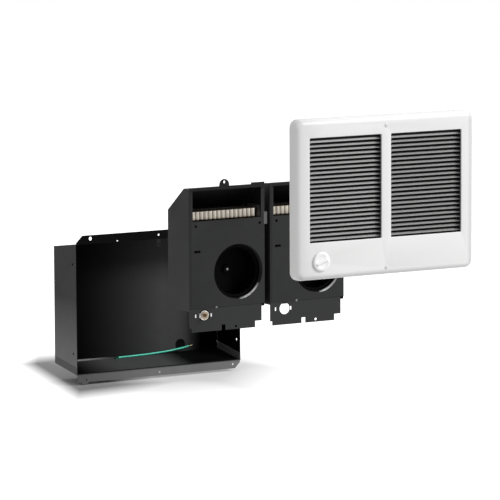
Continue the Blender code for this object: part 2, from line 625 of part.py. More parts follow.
def build_housing(side, frame):
    back = HOUSING_DEPTH
    profile = [(BEHIND_PLATE, HOUSING_BOTTOM), (back, HOUSING_BOTTOM),
               (back, HOUSING_TOP - HOUSING_SLOPE_DROP), (HOUSING_FLAT, HOUSING_TOP),
               (BEHIND_PLATE, HOUSING_TOP)]
    for label, start in (("left", 0), ("right", PLATE_WIDTH - SHEET)):
        mesh = outline(side + "_side_" + label, [profile], SHEET, SIDEWAYS, start)
        place(side + "_side_" + label, mesh, frame, BLACK_SATIN)
    folded = strip(profile, -SHEET)
    inside = SHEET + GAP
    mesh = outline(side + "_housing_wrap", [folded], PLATE_WIDTH - 2 * inside, SIDEWAYS, inside)
    place(side + "_housing_wrap", mesh, frame, BLACK_SATIN)


def scroll_path():
    """From the right-hand top down to the wheel, round under it and up on the left."""
    start_radius = WHEEL_RADIUS + SCROLL_START_GAP
    count = 18
    sweep = 180 + SCROLL_START_ANGLE
    path = []
    for k in range(count + 1):
        angle = math.radians(SCROLL_START_ANGLE - sweep * k / count)
        radius = start_radius + SCROLL_GROWTH * (k / count) ** 1.4
        path.append((FAN_ACROSS + radius * math.cos(angle), FAN_HEIGHT + radius * math.sin(angle)))
    return [(path[0][0] - SCROLL_BEND, SCROLL_TOP), *path, (SCROLL_MOUTH_LEFT, SCROLL_TOP)]


def build_blower(side, frame):
    at_fan = (FAN_ACROSS, 0, FAN_HEIGHT)
    lip = RING_LIP_RADIUS
    flange = INLET_RADIUS + RING_FLANGE
    depth = -BEHIND_PLATE
    throat = [(lip + RING_NECK, depth), (flange, depth), (flange, depth - RING_SHEET),
              (lip + RING_NECK + 2 * GAP, depth - RING_SHEET),
              (lip + RING_SHEET, -RING_LIP_DEPTH * 0.5),
              (lip + RING_SHEET, -RING_LIP_DEPTH), (lip, -RING_LIP_DEPTH),
              (lip, -RING_LIP_DEPTH * 0.5)]
    turned(side + "_inlet_ring", throat, frame, GALVANISED, at_fan, 32, closed=True)

    path = scroll_path()
    scroll_depth = MOTOR_PLATE_FRONT - GAP - BEHIND_PLATE
    mesh = outline(side + "_scroll", [strip(path, SHEET)], scroll_depth, FRONTAL, BEHIND_PLATE)
    ring_room = circle(FAN_ACROSS, FAN_HEIGHT, flange + GAP, 40)
    scroll = place(side + "_scroll", mesh, frame, GALVANISED)
    notch = outline("scroll_cutter", [ring_room], RING_SHEET + 2 * GAP + SHEET, FRONTAL, 0)
    boolean(scroll, place(side + "_scroll_cutter", notch, frame, None, "cutters"), "DIFFERENCE")

    inside = SHEET + GAP
    wall = rectangle(inside, PLATE_WIDTH - inside, HOUSING_BOTTOM + inside, SCROLL_TOP)
    shaft_room = circle(FAN_ACROSS, FAN_HEIGHT, HUB_RADIUS + GAP, 16)
    mesh = outline(side + "_motor_plate", [wall, shaft_room], SHEET, FRONTAL, MOTOR_PLATE_FRONT)
    place(side + "_motor_plate", mesh, frame, GALVANISED)

    bearing = SHAFT_RADIUS + GAP
    strap = rectangle(FAN_ACROSS - BRIDGE_LENGTH / 2, FAN_ACROSS + BRIDGE_LENGTH / 2,
                      FAN_HEIGHT - BRIDGE_HEIGHT / 2, FAN_HEIGHT + BRIDGE_HEIGHT / 2)
    loops = [strap, circle(FAN_ACROSS, FAN_HEIGHT, bearing, 12)]
    mesh = outline(side + "_bridge_front", loops, BRIDGE_DEPTH, FRONTAL,
                   MOTOR_PLATE_FRONT + SHEET + GAP)
    place(side + "_bridge_front", mesh, frame, GALVANISED)
    mesh = outline(side + "_bridge_rear", loops, BRIDGE_DEPTH, FRONTAL, STATOR_BACK + GAP)
    place(side + "_bridge_rear", mesh, frame, GALVANISED)

    middle = FAN_HEIGHT - STATOR_DROP
    low = middle - STATOR_HEIGHT / 2
    core = rectangle(FAN_ACROSS - STATOR_WIDTH / 2, FAN_ACROSS + STATOR_WIDTH / 2,
                     low, low + STATOR_HEIGHT)
    bore = circle(FAN_ACROSS, FAN_HEIGHT, ROTOR_RADIUS + ROTOR_GAP, 20)
    window_top = low + STATOR_LEG + COIL_WALL + 2 * GAP + 1 * MM
    window = rectangle(FAN_ACROSS - WINDOW_WIDTH / 2, FAN_ACROSS + WINDOW_WIDTH / 2,
                       low + STATOR_LEG, window_top)
    mesh = outline(side + "_stator", [core, bore, window], STATOR_DEPTH, FRONTAL, STATOR_FRONT)
    place(side + "_stator", mesh, frame, LAMINATION)

    coil_low = low - GAP - COIL_WALL
    coil_high = low + STATOR_LEG + GAP + COIL_WALL
    outer = rectangle(STATOR_FRONT - GAP - COIL_WALL, STATOR_BACK + GAP + COIL_WALL,
                      coil_low, coil_high)
    inner = rectangle(STATOR_FRONT - GAP, STATOR_BACK + GAP, low - GAP, low + STATOR_LEG + GAP)
    mesh = outline(side + "_coil", [outer, inner], WINDOW_WIDTH - 2 * GAP, SIDEWAYS,
                   FAN_ACROSS - WINDOW_WIDTH / 2 + GAP)
    place(side + "_coil", mesh, frame, COPPER)


def build_wheel(side, frame):
    """A squirrel-cage wheel: a disc with a hub behind a cage of blades under a front rim."""
    axle = empty(side + "_fan_axle", (FAN_ACROSS, 0, FAN_HEIGHT), frame)
    bore = SHAFT_RADIUS + GAP
    disc = [(bore, -HUB_FRONT), (HUB_RADIUS, -HUB_FRONT), (HUB_RADIUS, WHEEL_DISC - WHEEL_BACK),
            (WHEEL_RADIUS, WHEEL_DISC - WHEEL_BACK), (WHEEL_RADIUS, -WHEEL_BACK), (bore, -WHEEL_BACK)]
    turned(side + "_wheel_disc", disc, axle, DARK_RESIN, (0, 0, 0), 32, closed=True)

    outer_radius = WHEEL_RADIUS - BLADE_MARGIN
    blades = []
    for k in range(BLADE_COUNT):
        turn = 2 * math.pi * k / BLADE_COUNT
        line = []
        for radius, angle in ((WHEEL_INNER_RADIUS, turn), (outer_radius, turn + BLADE_LEAN)):
            line.append((radius * math.cos(angle), radius * math.sin(angle)))
        blades.append(strip(line, BLADE_THICKNESS))
    start = WHEEL_FRONT + WHEEL_RIM / 2
    blade_length = WHEEL_BACK - WHEEL_DISC - GAP - start
    cage_mesh = outline(side + "_wheel_cage", blades, blade_length, FRONTAL, start)
    cage = place(side + "_wheel_cage", cage_mesh, axle, DARK_RESIN)
    rim_inside = WHEEL_RADIUS - RIM_WIDTH
    rim_back = -WHEEL_FRONT - WHEEL_RIM
    rim = [(rim_inside, -WHEEL_FRONT), (WHEEL_RADIUS, -WHEEL_FRONT), (WHEEL_RADIUS, rim_back),
           (rim_inside, rim_back)]
    ring = turned(side + "_wheel_rim", rim, axle, None, (0, 0, 0), 32, "cutters", closed=True)
    boolean(cage, ring, "UNION")

    rotor_front = STATOR_FRONT + 1 * MM
    rotor_back = STATOR_BACK - 1 * MM
    shaft_end = STATOR_BACK + GAP + BRIDGE_DEPTH - 1 * MM
    shaft = [(0, -SHAFT_FRONT), (SHAFT_RADIUS, -SHAFT_FRONT), (SHAFT_RADIUS, -rotor_front),
             (ROTOR_RADIUS, -rotor_front), (ROTOR_RADIUS, -rotor_back), (SHAFT_RADIUS, -rotor_back),
             (SHAFT_RADIUS, -shaft_end), (0, -shaft_end)]
    turned(side + "_rotor_shaft", shaft, axle, BRIGHT, (0, 0, 0), 20)


def pleated_path():
    """A ribbon folded back and forth, with a round turn at each fold."""
    half = ELEMENT_WIDTH / PLEAT_COUNT / 2
    bend = half / 2 - RIBBON_THICKNESS / 4
    front = ELEMENT_FRONT + bend
    back = ELEMENT_FRONT + ELEMENT_DEPTH - bend
    path = []
    for k in range(2 * PLEAT_COUNT):
        middle = ELEMENT_LEFT + RIBBON_THICKNESS / 2 + half * (k + 0.5) * 0.985
        centre, way = (front, -1) if k % 2 == 0 else (back, 1)
        for step in range(3):
            angle = math.pi * step / 2
            path.append((middle - bend * math.cos(angle), centre + way * bend * math.sin(angle)))
    return path


def build_element(side, frame):
    low = ELEMENT_RISE
    high = ELEMENT_RISE + ELEMENT_HEIGHT
    mesh = outline(side + "_element_ribbon", [strip(pleated_path(), RIBBON_THICKNESS)],
                   ELEMENT_HEIGHT, LEVEL, low)
    place(side + "_element_ribbon", mesh, frame, CERAMIC)
    inside = SHEET + GAP
    left = (inside, ELEMENT_LEFT - GAP)
    right = (ELEMENT_LEFT + ELEMENT_WIDTH + GAP, PLATE_WIDTH - inside)
    for label, (a, b) in (("left", left), ("right", right)):
        mesh = box(side + "_element_support_" + label,
                   (a, ELEMENT_FRONT - 1 * MM, low - SUPPORT_MARGIN),
                   (b, ELEMENT_FRONT + ELEMENT_DEPTH + 1 * MM, high + SUPPORT_MARGIN))
        place(side + "_element_support_" + label, mesh, frame, MICA)
    switch = [(0, 0), (SWITCH_RADIUS, 0), (SWITCH_RADIUS, -SWITCH_DEPTH * 0.6),
              (SWITCH_RADIUS * 0.6, -SWITCH_DEPTH * 0.6), (SWITCH_RADIUS * 0.6, -SWITCH_DEPTH),
              (0, -SWITCH_DEPTH)]
    turned(side + "_limit_switch", switch, frame, BRIGHT,
           (SWITCH_ACROSS, BEHIND_PLATE, ELEMENT_RISE - SWITCH_DROP), 20)


def build_thermostat(frame):
    at_dial = (KNOB_ACROSS, 0, KNOB_RISE)
    bar = rectangle(BRACKET_LEFT, BRACKET_LEFT + BRACKET_WIDTH,
                    KNOB_RISE - BRACKET_HEIGHT / 2, KNOB_RISE + BRACKET_HEIGHT / 2)
    dial_room = DIAL_SHAFT_RADIUS + 2 * GAP
    hole = circle(KNOB_ACROSS, KNOB_RISE, dial_room, 16)
    mesh = outline("thermostat_bracket", [bar, hole], SHEET, FRONTAL, BEHIND_PLATE)
    bracket = place("thermostat_bracket", mesh, frame, BRIGHT)
    for label, across in (("left", EAR_SLOT_LEFT), ("right", EAR_SLOT_RIGHT)):
        half = EAR_SLOT_WIDTH / 2 - GAP
        rise = EAR_SLOT_HEIGHT / 2 - GAP
        ear_mesh = box("bracket_ear_" + label, (across - half, -2 * MM, KNOB_RISE - rise),
                       (across + half, BEHIND_PLATE + SHEET / 2, KNOB_RISE + rise))
        boolean(bracket, place("bracket_ear_" + label, ear_mesh, frame, None, "cutters"), "UNION")

    start = BEHIND_PLATE + SHEET + GAP
    body_mesh = box("thermostat_body",
                    (KNOB_ACROSS - THERMOSTAT_WIDTH / 2, start, KNOB_RISE - THERMOSTAT_HEIGHT / 2),
                    (KNOB_ACROSS + THERMOSTAT_WIDTH / 2, start + THERMOSTAT_DEPTH,
                     KNOB_RISE + THERMOSTAT_HEIGHT / 2))
    body = place("thermostat_body", body_mesh, frame, DARK_RESIN)
    socket_mesh = outline("dial_socket", [hole], DIAL_SHAFT_BLIND + 2 * GAP, FRONTAL, start - GAP)
    boolean(body, place("dial_socket", socket_mesh, frame, None, "cutters"), "DIFFERENCE")

    collar = [(dial_room, COLLAR_FRONT), (COLLAR_RADIUS * 0.72, COLLAR_FRONT),
              (COLLAR_RADIUS, COLLAR_FRONT * 0.4), (COLLAR_RADIUS, -SHEET), (dial_room, -SHEET)]
    turned("thermostat_collar", collar, frame, BRASS, at_dial, 24, closed=True)

    axle = empty("thermostat_axle", at_dial, frame)
    shaft_back = start + DIAL_SHAFT_BLIND - GAP
    shaft = [(0, SHAFT_TIP), (DIAL_SHAFT_RADIUS - 0.5 * MM, SHAFT_TIP),
             (DIAL_SHAFT_RADIUS, SHAFT_TIP - 0.7 * MM), (DIAL_SHAFT_RADIUS, -shaft_back),
             (0, -shaft_back)]
    turned("thermostat_shaft", shaft, axle, BRASS, (0, 0, 0), 16)


def build_heater(side, frame):
    build_plate(side, frame)
    build_housing(side, frame)
    build_blower(side, frame)
    build_wheel(side, frame)
    build_element(side, frame)


def grille_shell():
    """Front face and rims as one open surface, rounded at the corners and the front edge."""
    mesh = bpy.data.meshes.new("grille_frame")
    work = bmesh.new()
    centre = Matrix.Translation((0, GRILLE_DEPTH / 2, GRILLE_HEIGHT / 2))
    size = Matrix.Diagonal((GRILLE_WIDTH, GRILLE_DEPTH, GRILLE_HEIGHT, 1))
    bmesh.ops.create_cube(work, size=1, matrix=centre @ size)
    rear = [f for f in work.faces if f.calc_center_median().y > GRILLE_DEPTH * 0.9]
    bmesh.ops.delete(work, geom=rear, context="FACES_ONLY")
    corners = []
    for edge in work.edges:
        way = edge.verts[0].co - edge.verts[1].co
        if abs(way.y) > GRILLE_DEPTH / 2:
            corners.append(edge)
    bmesh.ops.bevel(work, geom=corners, offset=GRILLE_CORNER, segments=6, profile=0.5, affect="EDGES")
    rim = [e for e in work.edges if max(v.co.y for v in e.verts) < GAP]
    rounding = min(GRILLE_EDGE, GRILLE_CORNER * 0.9)
    bmesh.ops.bevel(work, geom=rim, offset=rounding, segments=4, profile=0.5, affect="EDGES")
    bmesh.ops.recalc_face_normals(work, faces=work.faces)
    work.to_mesh(mesh)
    work.free()
    return mesh


def build_grille(frame):
    shell = place("grille_frame", grille_shell(), frame, WHITE_PAINT)
    wall = shell.modifiers.new("sheet", "SOLIDIFY")
    wall.thickness = GRILLE_SHEET
    wall.offset = -1
    wall.use_even_offset = True
    loops = [rectangle(side * BANK_CENTRE - BANK_WIDTH / 2, side * BANK_CENTRE + BANK_WIDTH / 2,
                       BANK_BOTTOM, BANK_BOTTOM + BANK_HEIGHT) for side in (-1, 1)]
    screw_top = GRILLE_HEIGHT - GRILLE_SCREW_TOP
    for up in (screw_top, GRILLE_SCREW_BOTTOM):
        loops.append(circle(0, up, GRILLE_SCREW_RADIUS + GAP, 12))
    loops.append(circle(KNOB_X, KNOB_Z, KNOB_STUB_RADIUS + GAP, 20))
    mesh = outline("front_cutter", loops, 3 * GRILLE_SHEET, FRONTAL, -GRILLE_SHEET)
    boolean(shell, place("front_cutter", mesh, frame, None, "cutters"), "DIFFERENCE")

    pitch = BANK_HEIGHT / LOUVRE_COUNT
    start = GRILLE_SHEET + GAP
    for side, label in ((-1, "left"), (1, "right")):
        inner_left = side * BANK_CENTRE - BANK_WIDTH / 2 - GAP
        inner_right = side * BANK_CENTRE + BANK_WIDTH / 2 + GAP
        blades = []
        for k in range(LOUVRE_COUNT):
            low = BANK_BOTTOM + pitch * (k + 0.5) - (LOUVRE_RISE + LOUVRE_THICKNESS) / 2
            blades.append([(start, low), (start + LOUVRE_DEPTH, low + LOUVRE_RISE),
                           (start + LOUVRE_DEPTH, low + LOUVRE_RISE + LOUVRE_THICKNESS),
                           (start, low + LOUVRE_THICKNESS)])
        length = inner_right - inner_left + RAIL_WIDTH
        mesh = outline("louvres_" + label, blades, length, SIDEWAYS, inner_left - RAIL_WIDTH / 2)
        bank = place("louvres_" + label, mesh, frame, WHITE_PAINT)
        rail = rectangle(start, start + LOUVRE_DEPTH + 1 * MM,
                         BANK_BOTTOM - RAIL_MARGIN, BANK_BOTTOM + BANK_HEIGHT + RAIL_MARGIN)
        for end, at in (("near", inner_left - RAIL_WIDTH), ("far", inner_right)):
            mesh = outline("rail_" + label + end, [rail], RAIL_WIDTH, SIDEWAYS, at)
            boolean(bank, place("rail_" + label + "_" + end, mesh, frame, None, "cutters"), "UNION")

    screw = [(0, 1.6 * MM), (GRILLE_SCREW_HEAD * 0.7, 1.4 * MM), (GRILLE_SCREW_HEAD, GAP),
             (GRILLE_SCREW_RADIUS, GAP), (GRILLE_SCREW_RADIUS, -GRILLE_SCREW_LENGTH),
             (0, -GRILLE_SCREW_LENGTH - 1.5 * MM)]
    turned("grille_screw_top", screw, frame, WHITE_RESIN, (0, 0, screw_top), 12)
    turned("grille_screw_bottom", screw, frame, WHITE_RESIN, (0, 0, GRILLE_SCREW_BOTTOM), 12)


def build_knob(frame):
    axle = empty("knob_axle", (KNOB_X, -GAP, KNOB_Z), frame)
    r = KNOB_RADIUS
    h = KNOB_HEIGHT
    profile = [(0, h * 0.62), (r * 0.70, h * 0.6), (r * 0.88, h * 0.5), (r * 0.98, h * 0.25),
               (r, 0), (KNOB_STUB_RADIUS, 0), (KNOB_STUB_RADIUS, GAP - KNOB_STUB_LENGTH),
               (KNOB_SOCKET_RADIUS, GAP - KNOB_STUB_LENGTH), (KNOB_SOCKET_RADIUS, 1 * MM), (0, 1 * MM)]
    knob = turned("knob", profile, axle, WHITE_RESIN, (0, 0, 0), 32)
    grip_mesh = box("knob_grip", (-GRIP_WIDTH / 2, -h * 0.62 - GRIP_HEIGHT, -r * 0.78),
                    (GRIP_WIDTH / 2, -h * 0.3, r * 0.78))
    grip = place("knob_grip", grip_mesh, axle, None, "cutters")
    grip.rotation_euler.y = GRIP_TURN
    soften = grip.modifiers.new("edge", "BEVEL")
    soften.width = GRIP_WIDTH * 0.3
    soften.segments = 2
    boolean(knob, grip, "UNION")


def clear_scene():
    for thing in list(bpy.data.objects):
        bpy.data.objects.remove(thing)


def new_collection(name):
    made = bpy.data.collections.new(name)
    bpy.context.scene.collection.children.link(made)
    return made


def main():
    clear_scene()
    COLLECTIONS["parts"] = new_collection("in_wall_fan_heater")
    COLLECTIONS["cutters"] = new_collection("cutters")

    can_frame = empty("can_frame", (0, 0, 0))
    build_can(can_frame)
    build_ground_wire(can_frame)

    out = pull(HEATER_PULL)
    left = empty("heater_left_frame", Vector((LEFT_PLATE_X, PLATE_FRONT_Y, PLATE_BOTTOM_Z)) + out)
    right = empty("heater_right_frame", Vector((RIGHT_PLATE_X, PLATE_FRONT_Y, PLATE_BOTTOM_Z)) + out)
    build_heater("left", left)
    build_heater("right", right)
    build_thermostat(left)

    out = pull(HEATER_PULL) + pull(GRILLE_PULL)
    grille = empty("grille_centre", Vector((0, GRILLE_FRONT_Y, GRILLE_BOTTOM_Z)) + out)
    build_grille(grille)
    build_knob(grille)


main()
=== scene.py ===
"""Looks of an in-wall fan heater drawn out of its wall can.

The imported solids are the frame. Operators give every solid its finish, add the finer pieces that
stand for the plain ones, and set the floor, the lamps and the camera.
"""
import math

import bmesh
import bpy
import numpy as np
from bpy.props import FloatProperty, FloatVectorProperty, IntProperty, PointerProperty
from mathutils import Matrix, Vector
from mathutils.geometry import delaunay_2d_cdt


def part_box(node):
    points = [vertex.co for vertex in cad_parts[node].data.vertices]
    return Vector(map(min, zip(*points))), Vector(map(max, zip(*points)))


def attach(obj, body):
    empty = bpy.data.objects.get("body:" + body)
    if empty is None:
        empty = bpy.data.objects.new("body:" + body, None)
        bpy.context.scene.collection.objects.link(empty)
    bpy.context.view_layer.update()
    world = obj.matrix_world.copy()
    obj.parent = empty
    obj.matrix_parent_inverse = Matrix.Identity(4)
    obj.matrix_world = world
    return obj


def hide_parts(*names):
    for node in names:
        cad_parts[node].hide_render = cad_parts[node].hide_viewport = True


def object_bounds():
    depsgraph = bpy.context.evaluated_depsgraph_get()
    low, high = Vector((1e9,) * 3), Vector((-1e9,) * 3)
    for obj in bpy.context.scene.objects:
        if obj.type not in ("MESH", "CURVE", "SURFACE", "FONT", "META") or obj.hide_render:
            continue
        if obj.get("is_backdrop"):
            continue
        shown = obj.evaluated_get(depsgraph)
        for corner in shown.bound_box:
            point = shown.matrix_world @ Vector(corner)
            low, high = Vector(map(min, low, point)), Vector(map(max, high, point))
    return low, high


bl_info = {
    "name": "In-wall fan heater",
    "version": (1, 0, 0),
    "blender": (4, 5, 0),
    "location": "3D View > Sidebar > Heater",
    "description": "Adds the finer pieces, finishes, lamps and camera of an in-wall fan heater",
    "category": "Object",
}

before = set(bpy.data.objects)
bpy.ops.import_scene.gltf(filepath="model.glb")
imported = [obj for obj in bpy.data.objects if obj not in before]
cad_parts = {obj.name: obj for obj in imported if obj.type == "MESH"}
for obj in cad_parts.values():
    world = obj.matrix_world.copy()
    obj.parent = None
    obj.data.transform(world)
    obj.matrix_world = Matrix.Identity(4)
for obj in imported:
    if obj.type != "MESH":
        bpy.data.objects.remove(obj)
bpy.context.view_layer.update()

MM = 0.001
GAP = 0.3 * MM                           # between neighbours that touch on the real heater
SIDES = ("left", "right")
WHITE_LIGHT = (1, 1, 1, 1)


def corner(node):
    """Lowest corner of a solid's box, as an array."""
    return np.array(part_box(node)[0])


def high_corner(node):
    """Highest corner of a solid's box, as an array."""
    return np.array(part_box(node)[1])


def middle(node):
    """Middle of a solid's box."""
    return (corner(node) + high_corner(node)) / 2


def front_of(node):
    """Middle of the front face of a solid's box, half the box's width, and its depth."""
    low, high = corner(node), high_corner(node)
    centre = np.array([(low[0] + high[0]) / 2, low[1], (low[2] + high[2]) / 2])
    return centre, (high[0] - low[0]) / 2, high[1] - low[1]


# Places that the solids give
CAN_LOW = corner("can_wrap")
GRILLE_LOW = corner("grille_frame")
GRILLE_HIGH = high_corner("grille_frame")
GRILLE_FRONT = np.array([0.0, GRILLE_LOW[1], GRILLE_LOW[2]])
GRILLE_SPAN = GRILLE_HIGH - GRILLE_LOW


def in_millimetres(name, size, description):
    """A length for the sidebar: a size in millimetres times MM."""
    return FloatProperty(name=name, description=description, default=size * MM, unit="LENGTH")


def swatch(name, value, description):
    """A colour for the sidebar, with parts from nought to one."""
    return FloatVectorProperty(name=name, description=description, default=value,
                               subtype="COLOR", min=0, max=1)


class HeaterSizes(bpy.types.PropertyGroup):
    """Sizes of the finer pieces."""

    grille_corner: in_millimetres("Grille corner", 15.5, "Radius of the grille's four corners")
    grille_edge: in_millimetres("Grille edge", 11.5, "How far the rounded edge reaches in over the face")
    grille_edge_depth: in_millimetres("Grille edge depth", 11.5, "How far the rounded edge reaches back")
    grille_sheet: in_millimetres("Grille sheet", 1.2, "Thickness of the grille's steel")
    bank_width: in_millimetres("Bank width", 155, "Width of a louvre opening")
    bank_height: in_millimetres("Bank height", 193.5, "Height of a louvre opening")
    bank_bottom: in_millimetres("Bank bottom", 70, "Plain metal below the louvre openings")
    middle_bar: in_millimetres("Middle bar", 21, "Plain metal between the two openings")
    louvre_count: IntProperty(name="Louvres", description="Blades in each opening", default=24)
    louvre_depth: in_millimetres("Louvre depth", 9, "Depth of a blade")
    louvre_rise: in_millimetres("Louvre rise", 1.8, "How far a blade climbs towards the back")
    louvre_sheet: in_millimetres("Louvre sheet", 1.2, "Thickness of a blade")
    louvre_dip: in_millimetres("Louvre dip", 1.3, "How far a blade's left end bends down")
    # Black slats behind the blades stand in for the shade behind the slots: painted shade.
    shade_slat_depth: in_millimetres("Guard depth", 8, "Depth of the steep slats behind the blades")
    knob_radius: in_millimetres("Knob radius", 18.2, "Outer radius of the knob")
    knob_height: in_millimetres("Knob height", 3.4, "Height of the knob's rim above the grille")
    grip_height: in_millimetres("Grip height", 1.8, "Height of the grip above the knob's rim")
    grip_angle: FloatProperty(
        name="Grip angle", description="Direction of the grip, from upright",
        default=math.radians(65), subtype="ANGLE")
    edge_softness: in_millimetres("Edge softness", 0.25, "Width of the soft edge of cut sheet")
    wire_radius: in_millimetres("Wire radius", 1.9, "Radius of the ground wire")
    blade_count: IntProperty(
        name="Fan blades", description="Blades of each blower wheel", default=24)
    pleat_count: IntProperty(
        name="Pleats", description="Pleats of each heating element", default=15)


class HeaterColours(bpy.types.PropertyGroup):
    """Colours of the finishes."""

    can_black: swatch("Can", (0.008, 0.008, 0.0081), "Semi-gloss black of the wall can")
    plate_black: swatch("Heater", (0.016, 0.0163, 0.0168), "Satin black of the heaters")
    powder_white: swatch("Grille", (0.83, 0.83, 0.828), "White powder coat of the grille")
    # Grey that stands in for the shade on the white blades: painted shade.
    louvre_white: swatch("Louvres", (0.4, 0.4, 0.398), "Paint of the louvre blades")
    resin_white: swatch("Knob", (0.93, 0.93, 0.928), "White moulding of the knob")
    element_cream: swatch("Element", (0.57, 0.52, 0.446), "Coat of the pleated element")
    wire_green: swatch("Ground wire", (0.035, 0.60, 0.42), "Insulation of the ground wire")
    floor_white: swatch("Floor", (0.54, 0.54, 0.54), "Pale floor")


class StageLevels(bpy.types.PropertyGroup):
    """Strength of the light."""

    sky: FloatProperty(
        name="Sky", description="Even light from all round", default=0.48, min=0)
    key: FloatProperty(
        name="Key lamp", description="Soft lamp high in front on the right, in watts",
        default=190.0, min=0)
    rear: FloatProperty(
        name="Rear lamp", description="Lamp high behind on the right, in watts",
        default=5.0, min=0)


# Shapes

def grid_faces(rows, columns):
    """Four corners for each cell of a grid that is numbered row by row and closed round each row."""
    row = np.arange(rows - 1)[:, None]
    column = np.arange(columns)[None, :]
    after = (column + 1) % columns
    cells = [row * columns + column, row * columns + after,
             (row + 1) * columns + after, (row + 1) * columns + column]
    return np.stack(np.broadcast_arrays(*cells), -1).reshape(-1, 4).tolist()


def merge_shapes(shapes):
    """Several (points, faces) as one, with the corner numbers moved along."""
    faces = []
    start = 0
    for points, own_faces in shapes:
        faces += [[start + number for number in face] for face in own_faces]
        start += len(points)
    return np.concatenate([points for points, _ in shapes]), faces


def rounded_loop(width, height, radius, count=8):
    """Corners moved in by the radius, with a quarter turn of that radius round each."""
    turn = np.linspace(0, np.pi / 2, count + 1)
    angle = (np.arange(4)[:, None] * np.pi / 2 + turn).ravel()
    sign = np.repeat([[1, 1], [-1, 1], [-1, -1], [1, -1]], count + 1, axis=0)
    centre = sign * (np.array([width, height]) / 2 - radius)
    return centre + radius * np.stack([np.cos(angle), np.sin(angle)], 1)


def circle_loop(radius, count):
    """Points at even angles: radius times cosine and sine."""
    angle = np.linspace(0, 2 * np.pi, count, endpoint=False)
    return radius * np.stack([np.cos(angle), np.sin(angle)], 1)


def full_turn(steps):
    """Even angles round a full turn, as one row."""
    return np.linspace(0, 2 * np.pi, steps, endpoint=False)[None, :]


def smooth_step(value):
    """Nought to one with level ends: t squared times (3 - 2t)."""
    t = np.clip(value, 0, 1)
    return t * t * (3 - 2 * t)


def front_facing(radius, angle, forward):
    """Points of rings round the Y axis: x = r cos a, z = r sin a, y = -forward."""
    return np.stack(np.broadcast_arrays(radius * np.cos(angle), -forward, radius * np.sin(angle)), -1)


def with_fan(points, faces, ring, steps, forward):
    """A ring closed by triangles that meet at a point on the Y axis."""
    around = ring * steps + np.arange(steps)
    fan = np.stack([around, np.roll(around, -1), np.full(steps, len(points))], 1)
    return np.concatenate([points, [[0.0, -forward, 0.0]]]), faces + fan.tolist()


def turned(profile, steps, radius_shape=None):
    """Rings of (radius, forward) round the Y axis, closed by a fan where the radius is nought.

    A radius shape gives the radius of each point from its ring's radius, its angle and its forward
    place. A profile that has no end on the axis is closed from its last ring to its first.
    """
    profile = np.asarray(profile, float)
    angle = full_turn(steps)
    first_pole, last_pole = profile[0, 0] == 0, profile[-1, 0] == 0
    rings = profile[int(first_pole):len(profile) - int(last_pole)]
    radius = np.repeat(rings[:, :1], steps, 1)
    if radius_shape is not None:
        radius = radius_shape(radius, angle, rings[:, 1:])
    points = front_facing(radius, angle, rings[:, 1:]).reshape(-1, 3)
    faces = grid_faces(len(rings), steps)
    last_ring = len(rings) - 1
    if not first_pole and not last_pole:
        around = np.arange(steps)
        after = (around + 1) % steps
        last = last_ring * steps
        faces += np.stack([last + around, last + after, after, around], 1).tolist()
    if first_pole:
        points, faces = with_fan(points, faces, 0, steps, profile[0, 1])
    if last_pole:
        points, faces = with_fan(points, faces, last_ring, steps, profile[-1, 1])
    return points, faces


def relief(radius, angle, forward, stem):
    """A disc with a height for each point, then the (radius, forward) rings of its stem.

    The disc's first ring and the stem's last ring are each closed by a fan.
    """
    steps = angle.shape[1]
    front = front_facing(radius, angle, forward)
    stem = np.asarray(stem, float)
    behind = front_facing(np.repeat(stem[:, :1], steps, 1), angle, stem[:, 1:])
    points = np.concatenate([front, behind]).reshape(-1, 3)
    rows = len(points) // steps
    points, faces = with_fan(points, grid_faces(rows, steps), 0, steps, forward[0].mean())
    return with_fan(points, faces, rows - 1, steps, stem[-1, 1])


def stacked(loops, depths, lift):
    """Flat loops in X and Z, each set back by its own depth and raised by the lift, joined in order."""
    count = loops.shape[1]
    back = np.repeat(np.asarray(depths)[:, None], count, 1)
    points = np.stack([loops[..., 0], back, loops[..., 1] + lift], -1)
    return points.reshape(-1, 3), grid_faces(len(loops), count)


def directions(path):
    """Unit directions along a path: the step between a point's neighbours, over its length."""
    ways = np.gradient(path, axis=0)
    return ways / np.linalg.norm(ways, axis=1, keepdims=True)


def normals(line):
    """Unit normals of a flat line: its directions turned by a quarter."""
    ways = directions(line)
    return np.stack([-ways[:, 1], ways[:, 0]], 1)


def carried(section, path, across, up):
    """A closed section carried along a path: each station adds the section's two parts along
    its own across and up directions. The ends are closed by flat faces."""
    section = np.asarray(section, float)
    points = (path[:, None, :] + section[None, :, :1] * across[:, None, :]
              + section[None, :, 1:] * up[:, None, :])
    stations, corners = len(path), len(section)
    faces = grid_faces(stations, corners)
    faces.append(list(range(corners))[::-1])
    faces.append([(stations - 1) * corners + number for number in range(corners)])
    return points.reshape(-1, 3), faces


def slab(section, start, end):
    """A closed section in the Y and Z plane, carried straight along X."""
    path = np.array([[start, 0.0, 0.0], [end, 0.0, 0.0]])
    return carried(section, path, np.tile([0.0, 1.0, 0.0], (2, 1)), np.tile([0.0, 0.0, 1.0], (2, 1)))


def filled(outer, holes):
    """Triangles between an outer loop and its holes, in the plane of the loops.

    The holes are convex, so a triangle with all its corners on one hole lies inside that hole.
    """
    loops = [outer, *holes]
    owner = np.repeat(np.arange(len(loops)), [len(loop) for loop in loops])
    points = [Vector(point) for loop in loops for point in loop.tolist()]
    edges = []
    start = 0
    for loop in loops:
        count = len(loop)
        edges += [(start + k, start + (k + 1) % count) for k in range(count)]
        start += count
    constrained, nearest = 1, 1e-9
    found = delaunay_2d_cdt(points, edges, [], constrained, nearest)
    owners = [owner[numbers[0]] for numbers in found[3]]
    faces = [list(face) for face in found[2]
             if len({owners[number] for number in face}) > 1 or owners[face[0]] == 0]
    return np.array([list(point) for point in found[0]]), faces


# Pieces

